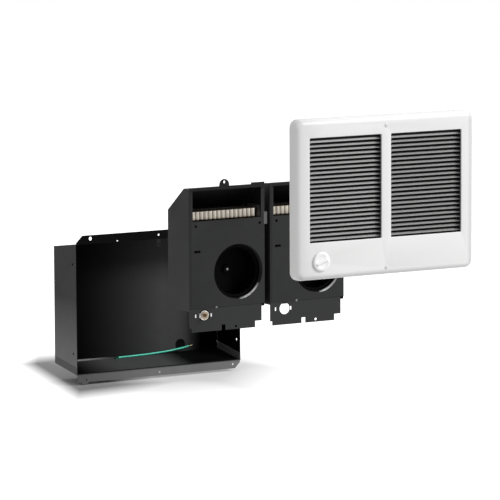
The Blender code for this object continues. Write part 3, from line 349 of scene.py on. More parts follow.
def add_piece(name, shape, body, replaced, material, sharp=35, place=(0, 0, 0), outward=None):
    """A finished object from points and faces, on its body, with the solids it replaces hidden.

    Doubles are merged and normals recalculated. An outward direction turns an open shell whose
    farthest face that way looks back.
    """
    points, faces = shape
    mesh = bpy.data.meshes.new(name)
    mesh.from_pydata((points + np.asarray(place)).tolist(), [], faces)
    work = bmesh.new()
    work.from_mesh(mesh)
    bmesh.ops.remove_doubles(work, verts=work.verts, dist=0.001 * MM)
    bmesh.ops.recalc_face_normals(work, faces=work.faces)
    if outward is not None:
        far = max(work.faces, key=lambda face: face.calc_center_median().dot(outward))
        if far.normal.dot(outward) < 0:
            bmesh.ops.reverse_faces(work, faces=work.faces)
    work.to_mesh(mesh)
    work.free()
    mesh.shade_smooth()
    mesh.set_sharp_from_angle(angle=math.radians(sharp))
    piece = bpy.data.objects.new(name, mesh)
    bpy.context.scene.collection.objects.link(piece)
    mesh.materials.append(material)
    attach(piece, body)
    if replaced:
        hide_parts(*replaced)
    return piece


def soften(piece, width):
    """Join a solid's loose triangles and round its sharp edges a little."""
    weld = piece.modifiers.new("joined", "WELD")
    weld.merge_threshold = 0.01 * MM
    bevel = piece.modifiers.new("soft edge", "BEVEL")
    bevel.width = width
    bevel.segments = 2
    bevel.limit_method = "ANGLE"
    bevel.angle_limit = math.radians(40)


def finish_nodes(nodes, material, softness=0.0):
    """Give solids their finish, and soft edges where a width is given."""
    for node in nodes:
        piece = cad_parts[node]
        piece.data.materials.clear()
        piece.data.materials.append(material)
        if softness > 0:
            soften(piece, softness)


# Finishes

def add_node(tree, kind, sockets=None, **settings):
    """A shader node with its settings. A socket takes a value or another node's output."""
    node = tree.nodes.new("ShaderNode" + kind)
    for name, value in settings.items():
        setattr(node, name, value)
    for socket, value in (sockets or {}).items():
        if isinstance(value, bpy.types.NodeSocket):
            tree.links.new(value, node.inputs[socket])
        else:
            node.inputs[socket].default_value = value
    return node


def straight_rays(tree):
    """One for rays from the camera, from gloss and through glass."""
    path = add_node(tree, "LightPath")
    value = path.outputs["Is Camera Ray"]
    for kind in ("Is Glossy Ray", "Is Transmission Ray"):
        either = add_node(tree, "Math", {0: value, 1: path.outputs[kind]}, operation="MAXIMUM")
        value = either.outputs["Value"]
    return value


def grey(value):
    """A colour whose three parts are the same."""
    return (value, value, value)


class Finish:
    """A material whose pattern reads the object's own coordinates."""

    bump_distance = 0.2 * MM

    def __init__(self, name, colour, roughness, metallic=0.0, gloss=0.5):
        """A plain shader, on whose sockets the numbers are set."""
        self.material = bpy.data.materials.new(name)
        self.material.use_nodes = True
        self.tree = self.material.node_tree
        self.shader = self.tree.nodes["Principled BSDF"]
        self.shader.inputs["Base Color"].default_value = (*colour, 1)
        self.shader.inputs["Roughness"].default_value = roughness
        self.shader.inputs["Metallic"].default_value = metallic
        self.shader.inputs["Specular IOR Level"].default_value = gloss
        self.where = self.add("TexCoord").outputs["Object"]
        self.colour = colour
        self.roughness = roughness

    def add(self, kind, sockets=None, **settings):
        """A shader node of this material."""
        return add_node(self.tree, kind, sockets, **settings)

    def stretched(self, scale):
        """Coordinates stretched by a factor in each direction."""
        return self.add("Mapping", {"Vector": self.where, "Scale": scale}).outputs["Vector"]

    def noise(self, scale, detail=3.0, where=None, rough=0.55):
        """Cloudy noise, so many clouds to the metre."""
        sockets = {"Scale": scale, "Detail": detail, "Roughness": rough, "Vector": where or self.where}
        return self.add("TexNoise", sockets).outputs["Fac"]

    def cells(self, scale):
        """A random grey for each cell of a broken pattern."""
        broken = self.add("TexVoronoi", {"Scale": scale, "Vector": self.where})
        return self.add("SeparateColor", {"Color": broken.outputs["Color"]}).outputs["Red"]

    def bands(self, scale, direction):
        """Even bands across a direction, a little uneven."""
        sockets = {"Scale": scale, "Distortion": 0.4, "Vector": self.where}
        return self.add("TexWave", sockets, wave_type="BANDS", bands_direction=direction).outputs["Fac"]

    def remapped(self, value, low, high, to_low=0.0, to_high=1.0):
        """A value moved from one range into another and held there."""
        sockets = {"Value": value, "From Min": low, "From Max": high, "To Min": to_low, "To Max": to_high}
        return self.add("MapRange", sockets).outputs["Result"]

    def along(self, axis, start, end):
        """Nought at one coordinate and one at the other, along an axis."""
        split = self.add("SeparateXYZ", {"Vector": self.where})
        return self.remapped(split.outputs[axis], start, end)

    def toward(self, direction, start, end):
        """Nought at one distance and one at the other, along any direction."""
        reach = self.add("VectorMath", {0: self.where, 1: direction}, operation="DOT_PRODUCT")
        return self.remapped(reach.outputs["Value"], start, end)

    def combined(self, operation, first, second):
        """One value of two, by the operation: their product, the larger or the smaller."""
        return self.add("Math", {0: first, 1: second}, operation=operation).outputs["Value"]

    def times(self, first, *others):
        """The product of several shares."""
        for other in others:
            first = self.combined("MULTIPLY", first, other)
        return first

    def band(self, axis, start, full_from, full_to, end):
        """One on a stretch of an axis, with a ramp from nought at each end."""
        return self.times(self.along(axis, start, full_from), self.along(axis, end, full_to))

    def mixed(self, factor, first, second):
        """A colour between two, which may be colours or outputs."""
        first, second = (value if isinstance(value, bpy.types.NodeSocket) else (*value, 1)
                         for value in (first, second))
        first_colour, second_colour, result = 6, 7, 2
        sockets = {"Factor": factor, first_colour: first, second_colour: second}
        return self.add("Mix", sockets, data_type="RGBA").outputs[result]

    def laid(self, look, colour, *shares):
        """A colour laid over a look, by the product of its shares."""
        return self.mixed(self.times(*shares), look, colour)

    def shade(self, share):
        """The finish's own colour times a share, held at one."""
        return tuple(min(1.0, part * share) for part in self.colour)

    def tinted(self, factor, darkest, palest):
        """The colour varied between two shares of itself."""
        return self.mixed(factor, self.shade(darkest), self.shade(palest))

    def clouded(self, noise, darkest, palest):
        """The colour varied by the middle range of a noise."""
        return self.tinted(self.remapped(noise, 0.3, 0.7), darkest, palest)

    def paint(self, colour):
        """Take the shader's colour from an output."""
        self.tree.links.new(colour, self.shader.inputs["Base Color"])

    def vary_roughness(self, factor, spread):
        """Roughness that runs from a spread below its value to a spread above it."""
        result = self.remapped(factor, 0.3, 0.7, self.roughness - spread, self.roughness + spread)
        self.tree.links.new(result, self.shader.inputs["Roughness"])

    def bump(self, height, strength):
        """Lean the normals with the slope of a height."""
        sockets = {"Strength": strength, "Distance": self.bump_distance, "Height": height}
        normal = self.add("Bump", sockets).outputs["Normal"]
        self.tree.links.new(normal, self.shader.inputs["Normal"])

    def patches(self):
        """Soft patches that mottle a painted film."""
        return self.remapped(self.noise(35, 5), 0.2, 0.75, 0.88, 1)


def enamel(name, colour, roughness, gloss=0.5, tone=None):
    """Sprayed enamel with orange peel, cloudy gloss and faint handling marks.

    A tone takes the coat and its look, and gives the look with painted light and shade laid over it.
    """
    coat = Finish(name, colour, roughness, 0.0, gloss)
    cloud = coat.noise(14, 4)
    scuffs = coat.noise(60, 6, coat.stretched((1, 1, 0.25)), 0.7)
    marks = coat.remapped(scuffs, 0.62, 0.8, 0, 0.35)
    look = coat.laid(coat.clouded(cloud, 0.82, 1.2), coat.shade(2.4), marks)
    coat.paint(tone(coat, look) if tone else look)
    coat.vary_roughness(cloud, 0.05)
    coat.bump(coat.noise(900, 2), 0.12)
    return coat.material


def back_wall_painted_shading(coat, look, patches):
    """Painted shading on the inner face: near black, with a painted reflection that grows to the right as
    its share squared and fades out at the right end.
    """
    inner_face = coat.band("Y", -6 * MM, -3 * MM, -0.6 * MM, -0.3 * MM)
    share = coat.along("X", CAN_LOW[0] + 20 * MM, 60 * MM)
    right_end = coat.along("X", 150 * MM, 115 * MM)
    # Painted shade: the inner face near black.
    look = coat.laid(look, grey(0.001), inner_face)
    # Painted reflection: a mottled pale film that grows to the right, faded out at the right end.
    return coat.laid(look, (0.067, 0.067, 0.0674), share, share, right_end, patches, inner_face)


def can_floor_painted_shading(coat, look, patches):
    """Painted shading on the floor: near black, with painted light on its left half and a painted
    highlight along its rear fold.
    """
    fold = -120 * MM
    behind_flange = coat.along("Y", CAN_LOW[1] + 4 * MM, CAN_LOW[1] + 8 * MM)
    floor = coat.times(coat.along("Z", fold + 0.5 * MM, fold - 0.5 * MM), behind_flange)
    left_half = coat.band("X", -170 * MM, -90 * MM, 35 * MM, 85 * MM)
    crease = coat.band("Z", fold - 1.2 * MM, fold - 0.6 * MM, fold + 1 * MM, fold + 1.6 * MM)
    # Painted shade: the floor near black.
    look = coat.laid(look, grey(0.004), floor)
    # Painted light on the floor's left half, mottled.
    look = coat.laid(look, (0.085, 0.085, 0.086), left_half, patches, floor)
    # Painted highlight along the rear fold.
    return coat.laid(look, grey(0.3), crease, coat.along("X", -60 * MM, -120 * MM))


def flange_painted_shading(coat, look, patches):
    """Painted shading: near black flange fronts, with a pale film of painted light on the front of the low
    one.
    """
    foot = CAN_LOW[2] + 21 * MM
    front = coat.along("Y", CAN_LOW[1] + 2.5 * MM, CAN_LOW[1] + 1.2 * MM)
    low_flange = coat.along("Z", foot + 2 * MM, foot - 1 * MM)
    # Painted shade: the flanges' fronts near black.
    look = coat.laid(look, grey(0.006), front)
    # Painted light: a mottled pale film on the low flange's front.
    return coat.laid(look, (0.205, 0.205, 0.206), front, patches, low_flange)


def can_painted_shading(coat, look):
    """Painted light and shade on the can's back wall, floor and flanges."""
    patches = coat.patches()
    for painter in (back_wall_painted_shading, can_floor_painted_shading, flange_painted_shading):
        look = painter(coat, look, patches)
    return look


def side_wall_painted_shading(coat, look):
    """Painted light on the outside of the can's left side: a film that grows towards its foot, for the
    floor's reflection. Painted shade: near black everywhere else but the outside of its right side."""
    low, high = corner("can_side_left"), high_corner("can_side_right")
    # Painted reflection of the floor: paler towards the foot, mottled.
    film = coat.times(coat.along("Z", low[2] + 140 * MM, low[2] + 10 * MM), coat.patches())
    outside = coat.mixed(film, (0.007, 0.007, 0.0071), (0.23, 0.23, 0.231))
    # Painted shade: near black but for the outside of the right side.
    look = coat.laid(look, grey(0.001), coat.along("X", high[0] - 0.3 * MM, high[0] - 0.8 * MM))
    return coat.laid(look, outside, coat.along("X", low[0] + 0.8 * MM, low[0] + 0.3 * MM))


def plate_painted_shading(coat, look):
    """Painted shading: a dark crease along the fold line, painted light on the metal under it, a darker
    bar, and a painted shadow along each left edge.
    """
    fold = middle("left_rivet")[2]
    bar = high_corner("left_side_left")[2] - 7.5 * MM
    crease = coat.band("Z", fold - 0.9 * MM, fold - 0.3 * MM, fold + 0.3 * MM, fold + 0.9 * MM)
    # Painted light on the metal under the fold.
    look = coat.laid(look, coat.shade(1.45), coat.along("Z", fold, fold - 3 * MM))
    # Painted shade in the crease along the fold.
    look = coat.laid(look, grey(0.004), crease)
    look = coat.laid(look, coat.shade(0.12), coat.along("Z", bar, bar + 1 * MM))
    for side in SIDES:
        edge = corner(side + "_front_plate")[0]
        # Painted shadow along the plate's left edge, above the fold.
        strip = coat.band("X", edge - 1 * MM, edge, edge + 5 * MM, edge + 6.2 * MM)
        look = coat.laid(look, coat.shade(0.55), strip, coat.along("Z", fold, fold + 1 * MM))
    return look


def rim_shade(coat, look):
    """Painted shade over the right edge and towards the left edge, and painted light round the left side.
    """
    left, right = GRILLE_LOW[0], GRILLE_HIGH[0]
    right_edge = coat.along("X", right - 16 * MM, right - 7 * MM)
    toward_left = coat.times(coat.along("X", left + 60 * MM, left + 14 * MM),
                             coat.along("X", left + 3 * MM, left + 10 * MM))
    # Painted shade over the right edge.
    look = coat.laid(look, coat.shade(0.68), right_edge)
    # Painted shade towards the left edge.
    look = coat.laid(look, coat.shade(0.88), toward_left)
    # Painted light round the left side.
    return coat.laid(look, coat.shade(1.18), coat.along("X", left + 10 * MM, left + 3 * MM))


def bank_shade(coat, look):
    """Painted shadow of the frame at the right end of each louvre bank, and the right bank a little
    darker.
    """
    sizes = bpy.context.scene.heater_sizes
    half_bar = sizes.middle_bar / 2
    look = coat.laid(look, coat.shade(0.78), coat.along("X", -half_bar, half_bar))
    for end in (-half_bar, half_bar + sizes.bank_width):
        right_end = coat.band("X", end - 16 * MM, end - 4 * MM, end + 1 * MM, end + 3 * MM)
        # Painted shadow of the frame over the bank's right end.
        look = coat.laid(look, coat.shade(0.16), right_end)
    return look


def powder(name, colour, roughness, tone=None):
    """White powder coat: fine orange peel and the faintest tone changes."""
    coat = Finish(name, colour, roughness)
    look = coat.clouded(coat.noise(9, 3), 0.985, 1.01)
    coat.paint(tone(coat, look) if tone else look)
    coat.vary_roughness(coat.noise(30, 3), 0.04)
    coat.bump(coat.noise(650, 2), 0.1)
    return coat.material


def galvanised(name, colour, roughness, gloss=0.5):
    """Zinc with its spangle: a grey for each crystal, over a fine grain."""
    zinc = Finish(name, colour, roughness, 0.92, gloss)
    spangle = zinc.cells(130)
    zinc.paint(zinc.tinted(spangle, 0.8, 1.12))
    zinc.vary_roughness(spangle, 0.07)
    zinc.bump(zinc.noise(400, 3), 0.08)
    return zinc.material


def inlet_ring_zinc(name, side):
    """Zinc painted near black all over as painted shade, but for a painted highlight on the lower right of
    the mouth's front.
    """
    zinc = Finish(name, (0.42, 0.42, 0.425), 0.4, 0.9, 0.05)
    node = side + "_inlet_ring"
    across, _, up = middle(node)
    front, back = corner(node)[1], high_corner(node)[1]
    radius = high_corner(node)[2] - up
    depth = front + (back - front) * 0.3
    # Painted highlight: the lower right of the mouth's front, mottled.
    painted_highlight = zinc.times(zinc.along("Z", up - 0.42 * radius, up - 0.62 * radius),
                      zinc.along("X", across + 0.05 * radius, across + 0.3 * radius),
                      zinc.along("Y", depth + 1 * MM, depth),
                      zinc.remapped(zinc.noise(60, 4), 0.2, 0.6, 0.85, 1))
    # Painted shade: near black outside the highlight.
    zinc.paint(zinc.mixed(painted_highlight, grey(0.009), zinc.tinted(zinc.cells(130), 0.8, 1.12)))
    zinc.vary_roughness(zinc.noise(90, 3), 0.08)
    zinc.bump(zinc.noise(400, 3), 0.08)
    return zinc.material


def bright_metal(name, colour, roughness, stretch=(1, 1, 12)):
    """Plated or drawn metal with fine lines across it."""
    metal = Finish(name, colour, roughness, 1.0)
    lines = metal.noise(500, 2, metal.stretched(stretch))
    metal.paint(metal.clouded(lines, 0.86, 1.08))
    metal.vary_roughness(lines, 0.08)
    metal.bump(lines, 0.06)
    return metal.material


def moulding(name, colour, roughness, gloss=0.5):
    """Moulded resin with a fine spark-eroded grain."""
    resin = Finish(name, colour, roughness, 0.0, gloss)
    grain = resin.noise(1200, 2)
    resin.paint(resin.clouded(resin.noise(20, 3), 0.94, 1.05))
    resin.vary_roughness(grain, 0.05)
    resin.bump(grain, 0.08)
    return resin.material


def stacked_sheets(name):
    """Varnished laminations: a line for every sheet of the stack."""
    stack = Finish(name, (0.1, 0.1, 0.105), 0.5, 0.6)
    lines = stack.bands(320, "Y")
    stack.paint(stack.mixed(lines, (0.045, 0.045, 0.05), (0.2, 0.2, 0.205)))
    stack.vary_roughness(stack.noise(60, 3), 0.06)
    stack.bump(lines, 0.3)
    return stack.material


def winding(name):
    """Enamelled copper turns: a band for each, paler on its crown."""
    wire = Finish(name, (0.42, 0.17, 0.06), 0.35, 0.6)
    turns = wire.bands(260, "X")
    wire.paint(wire.mixed(turns, (0.2, 0.07, 0.025), (0.62, 0.3, 0.13)))
    wire.vary_roughness(wire.noise(80, 3), 0.06)
    wire.bump(turns, 0.5)
    return wire.material


def mica_board(name):
    """Layered mica with flakes and browned patches."""
    board = Finish(name, (0.05, 0.048, 0.044), 0.6)
    flakes = board.cells(220)
    look = board.mixed(flakes, (0.022, 0.021, 0.019), (0.075, 0.07, 0.062))
    brown = board.remapped(board.noise(40, 3), 0.5, 0.7, 0, 0.7)
    board.paint(board.laid(look, (0.09, 0.055, 0.03), brown))
    board.vary_roughness(flakes, 0.12)
    board.bump(flakes, 0.15)
    return board.material


def element_coat(name, colour):
    """Cream coat on the pleats, painted shade between them above the foot, and browned by heat in blotches
    at their foot.
    """
    coat = Finish(name, colour, 0.65)
    _, front, low = corner("left_element_ribbon")
    cloud = coat.noise(90, 4)
    between = coat.along("Y", front + 1.5 * MM, front + 6 * MM)
    above_foot = coat.along("Z", low + 3 * MM, low + 10 * MM)
    foot = coat.along("Z", low + 2.5 * MM, low)
    blotches = coat.remapped(coat.noise(25, 3), 0.25, 0.6, 0.55, 1)
    # Painted shade: darker deeper between the pleats, above their foot.
    look = coat.laid(coat.clouded(cloud, 0.88, 1.12), (0.035, 0.028, 0.02), between, above_foot)
    coat.paint(coat.laid(look, (0.16, 0.085, 0.035), foot, blotches))
    coat.vary_roughness(cloud, 0.08)
    coat.bump(coat.noise(700, 4), 0.25)
    return coat.material


def insulation(name, colour):
    """Extruded insulation: smooth, with faint draw marks along it."""
    skin = Finish(name, colour, 0.32)
    marks = skin.noise(300, 2, skin.stretched((0.15, 1, 1)))
    skin.paint(skin.clouded(marks, 0.85, 1.2))
    skin.vary_roughness(marks, 0.06)
    skin.bump(marks, 0.05)
    return skin.material


def finish_table():
    """For each finish its maker, then the colour, roughness, gloss and tone that the maker takes."""
    colours = bpy.context.scene.heater_colours
    screw_white = tuple(0.93 * part for part in colours.powder_white)
    drawn_across = (1, 14, 1)
    return {
        "can_black": (enamel, colours.can_black, 0.4, 0.012, can_painted_shading),
        "can_wall": (enamel, colours.can_black, 0.4, 0.1, side_wall_painted_shading),
        "plate_black": (enamel, colours.plate_black, 0.52, 0.21, plate_painted_shading),
        "side_black": (enamel, colours.plate_black, 0.5, 0.15),
        "ear_black": (enamel, (0.02, 0.02, 0.0202), 0.5, 0.05),
        # Grey that stands in for the floor's light near the can's foot: painted light.
        "seam_black": (enamel, (0.11, 0.11, 0.111), 0.45, 0.1),
        # Painted shade: black of the slats and rails behind the louvres.
        "guard_black": (enamel, (0.010, 0.010, 0.0102), 0.6, 0.2),
        "knockout_black": (enamel, grey(0.003), 0.7, 0.05),
        "powder_white": (powder, colours.powder_white, 0.42, rim_shade),
        # Louvre blades: the grille's white darkened to grey as painted shade.
        "louvre_white": (powder, colours.louvre_white, 0.45, bank_shade),
        "screw_white": (powder, screw_white, 0.36),
        "resin_white": (moulding, colours.resin_white, 0.5, 0.3),
        "dark_resin": (moulding, grey(0.02), 0.5),
        "wheel_resin": (moulding, (0.0017, 0.0017, 0.0018), 0.65, 0.045),
        "ring_zinc_left": (inlet_ring_zinc, "left"),
        "ring_zinc_right": (inlet_ring_zinc, "right"),
        "zinc": (galvanised, (0.55, 0.56, 0.57), 0.36),
        # Painted shade: zinc near black, so nothing shows bright through the plates' slots.
        "sooted_zinc": (galvanised, (0.012, 0.012, 0.0122), 0.5, 0.05),
        "rivet_zinc": (galvanised, (0.2, 0.2, 0.205), 0.45),
        "bright_steel": (bright_metal, (0.6, 0.6, 0.585), 0.26),
        "shaft_steel": (bright_metal, grey(0.2), 0.36),
        "spring_steel": (bright_metal, (0.1, 0.1, 0.0985), 0.45),
        "green_metal": (bright_metal, (0.03, 0.3, 0.16), 0.35),
        "brass": (bright_metal, (0.33, 0.262, 0.198), 0.4, drawn_across),
        "copper": (bright_metal, (0.85, 0.78, 0.42), 0.35, drawn_across),
        "lamination": (stacked_sheets,),
        "winding": (winding,),
        "mica": (mica_board,),
        "element": (element_coat, colours.element_cream),
        "green": (insulation, colours.wire_green),
    }


FINISHES = {}


def finish(name):
    """The finish of that name, made when it is first asked for."""
    if name not in FINISHES:
        maker, *values = finish_table()[name]
        FINISHES[name] = maker(name, *values)
    return FINISHES[name]


# Operators

class HEATER_OT_camera(bpy.types.Operator):
    """Add the camera at the photograph's angle"""

    bl_idname = "heater.camera"
    bl_label = "Camera"

    place = (-3.9286, -7.2118, 1.1516)
    yaw = math.radians(30.221)
    pitch = math.radians(7.311)
    roll = math.radians(-0.253)
    lens = 288
    sensor = 36

    def execute(self, context):
        """Forward from yaw and pitch, right level, up their cross product, then both rolled."""
        forward = Vector((math.sin(self.yaw) * math.cos(self.pitch),
                          math.cos(self.yaw) * math.cos(self.pitch), -math.sin(self.pitch)))
        right = Vector((math.cos(self.yaw), -math.sin(self.yaw), 0))
        up = right.cross(forward)
        tilted_right = math.cos(self.roll) * right + math.sin(self.roll) * up
        tilted_up = math.cos(self.roll) * up - math.sin(self.roll) * right
        data = bpy.data.cameras.new("camera")
        data.lens = self.lens
        data.sensor_width = self.sensor
        data.clip_start, data.clip_end = 0.1, 200
        camera = bpy.data.objects.new("camera", data)
        axes = Matrix((tilted_right, tilted_up, -forward)).transposed().to_4x4()
        camera.matrix_world = Matrix.Translation(Vector(self.place)) @ axes
        context.scene.collection.objects.link(camera)
        context.scene.camera = camera
        return {"FINISHED"}


class HEATER_OT_ground_wire(bpy.types.Operator):
    """Add the green ground wire on the can's floor, with its stripped end"""

    bl_idname = "heater.ground_wire"
    bl_label = "Ground wire"

    screw_across = -56 * MM
    screw_back = 14 * MM                 # from the can's back face
    screw_radius = 4.2 * MM
    reach = 171 * MM
    closing = 8 * MM                     # how much nearer to the back wall its end lies
    lift = 0.6 * MM                      # above the floor where it starts
    rise = 8 * MM                        # how much higher its end lies
    can_depth = 96.5 * MM
    floor_drop = 134 * MM                # the can's floor below the middle, at the front
    floor_lean = 13 * MM                 # how far the floor climbs by the back
    can_sheet = 1 * MM
    bare_length = 11 * MM
    bare_inside = 2 * MM                 # of the strands, inside the insulation
    bare_rise = 1.2 * MM
    strand_radius = 0.42 * MM
    strand_circle = 0.48 * MM            # the strands lie round a circle of this radius
    strand_count = 6

    def route(self, radius):
        """Straight to the right, nearer to the back by an even share, and up by the share's power."""
        share = np.linspace(0, 1, 22)
        from_back = self.screw_back - self.closing * share
        climb = self.floor_lean * (self.can_depth - from_back) / self.can_depth
        floor = -(self.floor_drop - climb) + self.can_sheet
        start = self.screw_across + self.screw_radius + GAP
        return np.stack([start + self.reach * share, -from_back,
                         floor + radius + self.lift + self.rise * share ** 3.5], 1)

    def strands(self, start, way, across, up):
        """Bare strands side by side round a small circle, straight on and up by the share squared."""
        share = np.linspace(0, 1, 6)
        path = start + way * (share[:, None] * self.bare_length - self.bare_inside)
        path[:, 2] += self.bare_rise * share ** 2
        stations = len(path)
        return [carried(circle_loop(self.strand_radius, 6) + offset, path,
                        np.tile(across, (stations, 1)), np.tile(up, (stations, 1)))
                for offset in circle_loop(self.strand_circle, self.strand_count)]

    def execute(self, context):
        """Carry a circle along the route, then a small circle for each strand from its end."""
        radius = context.scene.heater_sizes.wire_radius
        route = self.route(radius)
        ways = directions(route)
        across = np.cross(ways, [0, 0, 1.0])
        across /= np.linalg.norm(across, axis=1, keepdims=True)
        up = np.cross(across, ways)
        wire = add_piece("ground_wire_insulation", carried(circle_loop(radius, 14), route, across, up),
                         "wall_can", ["ground_wire"], finish("green"), sharp=60)
        strands = self.strands(route[-1], ways[-1], across[-1], up[-1])
        tip = add_piece("ground_wire_strands", merge_shapes(strands), "wall_can", [],
                        finish("copper"), sharp=60)
        return {"FINISHED"}


class HEATER_OT_can(bpy.types.Operator):
    """Give the wall can its enamel and its soft folds, and add its knockout discs"""

    bl_idname = "heater.can"
    bl_label = "Wall can"

    disc_proud = 0.1 * MM
    joint_width = 0.8 * MM               # thin metal that still joins a disc to the wall

    def execute(self, context):
        """Coat the sheet, and turn each disc from a profile that steps down at its edge."""
        softness = context.scene.heater_sizes.edge_softness
        finish_nodes(["can_wrap"], finish("can_black"), softness)
        finish_nodes(["grille_screw_ear"], finish("ear_black"), softness)
        finish_nodes(["can_side_left", "can_side_right"], finish("can_wall"), softness)
        finish_nodes(["can_seam_left", "can_seam_right"], finish("seam_black"), softness)
        finish_nodes(["ground_screw"], finish("green_metal"))
        for side, coat in (("left", "can_black"), ("right", "knockout_black")):
            node = "knockout_" + side
            centre, radius, depth = front_of(node)
            outer = radius + self.joint_width
            profile = [(0, self.disc_proud), (radius * 0.7, self.disc_proud), (radius * 0.8, GAP),
                       (outer, GAP), (outer + GAP / 3, GAP / 3), (radius, GAP / 3),
                       (radius, -depth), (0, -depth)]
            add_piece("knockout_disc_" + side, turned(profile, 48), "wall_can", [node],
                      finish(coat), sharp=35, place=centre)
        return {"FINISHED"}


class HEATER_OT_heaters(bpy.types.Operator):
    """Give the two heaters' sheet pieces and motors their finishes"""

    bl_idname = "heater.heaters"
    bl_label = "Heaters"

    # Finish, softness as a share of that of cut sheet, and the pieces of each heater
    coats = (
        ("plate_black", 1, ("front_plate",)),
        ("side_black", 1, ("side_left", "side_right", "housing_wrap")),
        # The scroll and motor plate take zinc painted near black, as painted shade.
        ("sooted_zinc", 1, ("scroll", "motor_plate")),
        ("zinc", 2, ("bridge_front", "bridge_rear")),
        ("spring_steel", 0.6, ("edge_clip",)),
        ("bright_steel", 1, ("limit_switch",)),
        ("shaft_steel", 1, ("rotor_shaft",)),
        ("lamination", 1, ("stator",)),
        ("winding", 4, ("coil",)),
        ("mica", 1, ("element_support_left", "element_support_right")),
        ("wheel_resin", 1, ("wheel_disc",)),
    )

    def execute(self, context):
        """Give each listed piece of each heater its coat."""
        softness = context.scene.heater_sizes.edge_softness
        for side in SIDES:
            for name, share, pieces in self.coats:
                finish_nodes([side + "_" + piece for piece in pieces], finish(name), share * softness)
        finish_nodes(["thermostat_bracket"], finish("bright_steel"), 0.6 * softness)
        finish_nodes(["thermostat_body"], finish("dark_resin"), 2 * softness)
        return {"FINISHED"}


class HEATER_OT_inlet_rings(bpy.types.Operator):
    """Add the bell-mouthed inlet rings behind the plates' round openings"""

    bl_idname = "heater.inlet_rings"
    bl_label = "Inlet rings"

    sheet = 0.8 * MM
    lip_inset = 7.5 * MM                 # the narrowest part inside the ring's outer edge
    mouth_share = 0.62                   # of the inset, where the flange turns into the mouth
    mouth_depth = 0.85                   # of the ring's depth
    turn_power, mouth_power = 0.8, 0.9   # the mouth's fullness at its front and at its back
    edge_thickness = 0.9                 # of the sheet's, across the lip

    def profile(self, outer, depth):
        """Flat flange, then a mouth that narrows by one less the sine of a quarter turn, with a power
        on each, then back along the outside."""
        lip = outer - self.lip_inset
        turn = np.linspace(0, np.pi / 2, 13)
        narrowing = (1 - np.sin(turn) ** self.turn_power) ** self.mouth_power
        mouth_radius = lip + (outer - lip) * self.mouth_share * narrowing
        mouth_back = depth * self.mouth_depth * turn / turn[-1]
        inside = np.concatenate([[[outer, 0]], np.stack([mouth_radius, -mouth_back], 1), [[lip, -depth]]])
        outside = inside[::-1].copy()
        outside[:, 0] += np.where(outside[:, 0] < outer, self.sheet * self.edge_thickness, 0)
        outside[1:, 1] = np.minimum(outside[1:, 1], -self.sheet)
        return np.concatenate([inside, outside])

    def execute(self, context):
        """Turn each ring's profile round the inlet's axis."""
        for side in SIDES:
            node = side + "_inlet_ring"
            centre, outer, depth = front_of(node)
            add_piece(side + "_bell_mouth", turned(self.profile(outer, depth), 96), "heater_" + side,
                      [node], finish("ring_zinc_" + side), sharp=40, place=centre)
        return {"FINISHED"}


class HEATER_OT_blower_wheels(bpy.types.Operator):
    """Add the blower wheels' curved blades and rims"""

    bl_idname = "heater.blower_wheels"
    bl_label = "Blower wheels"

    blade_reach = 9 * MM
    blade_margin = 1.2 * MM              # blades stop short of the wheel's edge
    blade_lean = math.radians(13)        # how far a blade's outer edge runs ahead
    blade_front = 1 * MM                 # of the blades, behind the rim's front
    half_thickness = 0.45 * MM
    rim_width = 6.5 * MM

    def blade(self, outer):
        """A section round a line whose angle grows with the power 1.6 of its share outwards."""
        share = np.linspace(0, 1, 6)
        inner = outer - self.blade_reach
        radius = inner + (outer - self.blade_margin - inner) * share
        lean = self.blade_lean * share ** 1.6
        line = np.stack([radius * np.cos(lean), radius * np.sin(lean)], 1)
        offset = normals(line) * self.half_thickness
        return np.concatenate([line + offset, (line - offset)[::-1]])

    def rim(self, outer):
        """Profile of the rounded rim in front of the blades."""
        inner = outer - self.rim_width
        return [(inner, -0.4 * MM), (inner + 0.4 * MM, 0), (outer - 0.6 * MM, 0), (outer, -0.6 * MM),
                (outer, -2.6 * MM), (outer - 0.8 * MM, -3.2 * MM), (outer - 1.6 * MM, -2.2 * MM),
                (inner, -2.0 * MM)]

    def execute(self, context):
        """Carry a blade's section straight back at even angles, and turn the rim's profile."""
        count = context.scene.heater_sizes.blade_count
        across, up = np.tile([1.0, 0, 0], (2, 1)), np.tile([0, 0, 1.0], (2, 1))
        for side in SIDES:
            node = side + "_wheel_cage"
            centre, outer, depth = front_of(node)
            section = self.blade(outer)
            path = np.array([[0, self.blade_front, 0], [0, depth, 0]])
            shapes = []
            for angle in 2 * np.pi * np.arange(count) / count:
                turn = np.array([[math.cos(angle), math.sin(angle)], [-math.sin(angle), math.cos(angle)]])
                shapes.append(carried(section @ turn, path, across, up))
            shapes.append(turned(self.rim(outer), 96))
            add_piece(side + "_blade_cage", merge_shapes(shapes), "fan_" + side, [node],
                      finish("wheel_resin"), sharp=40, place=centre)
        return {"FINISHED"}


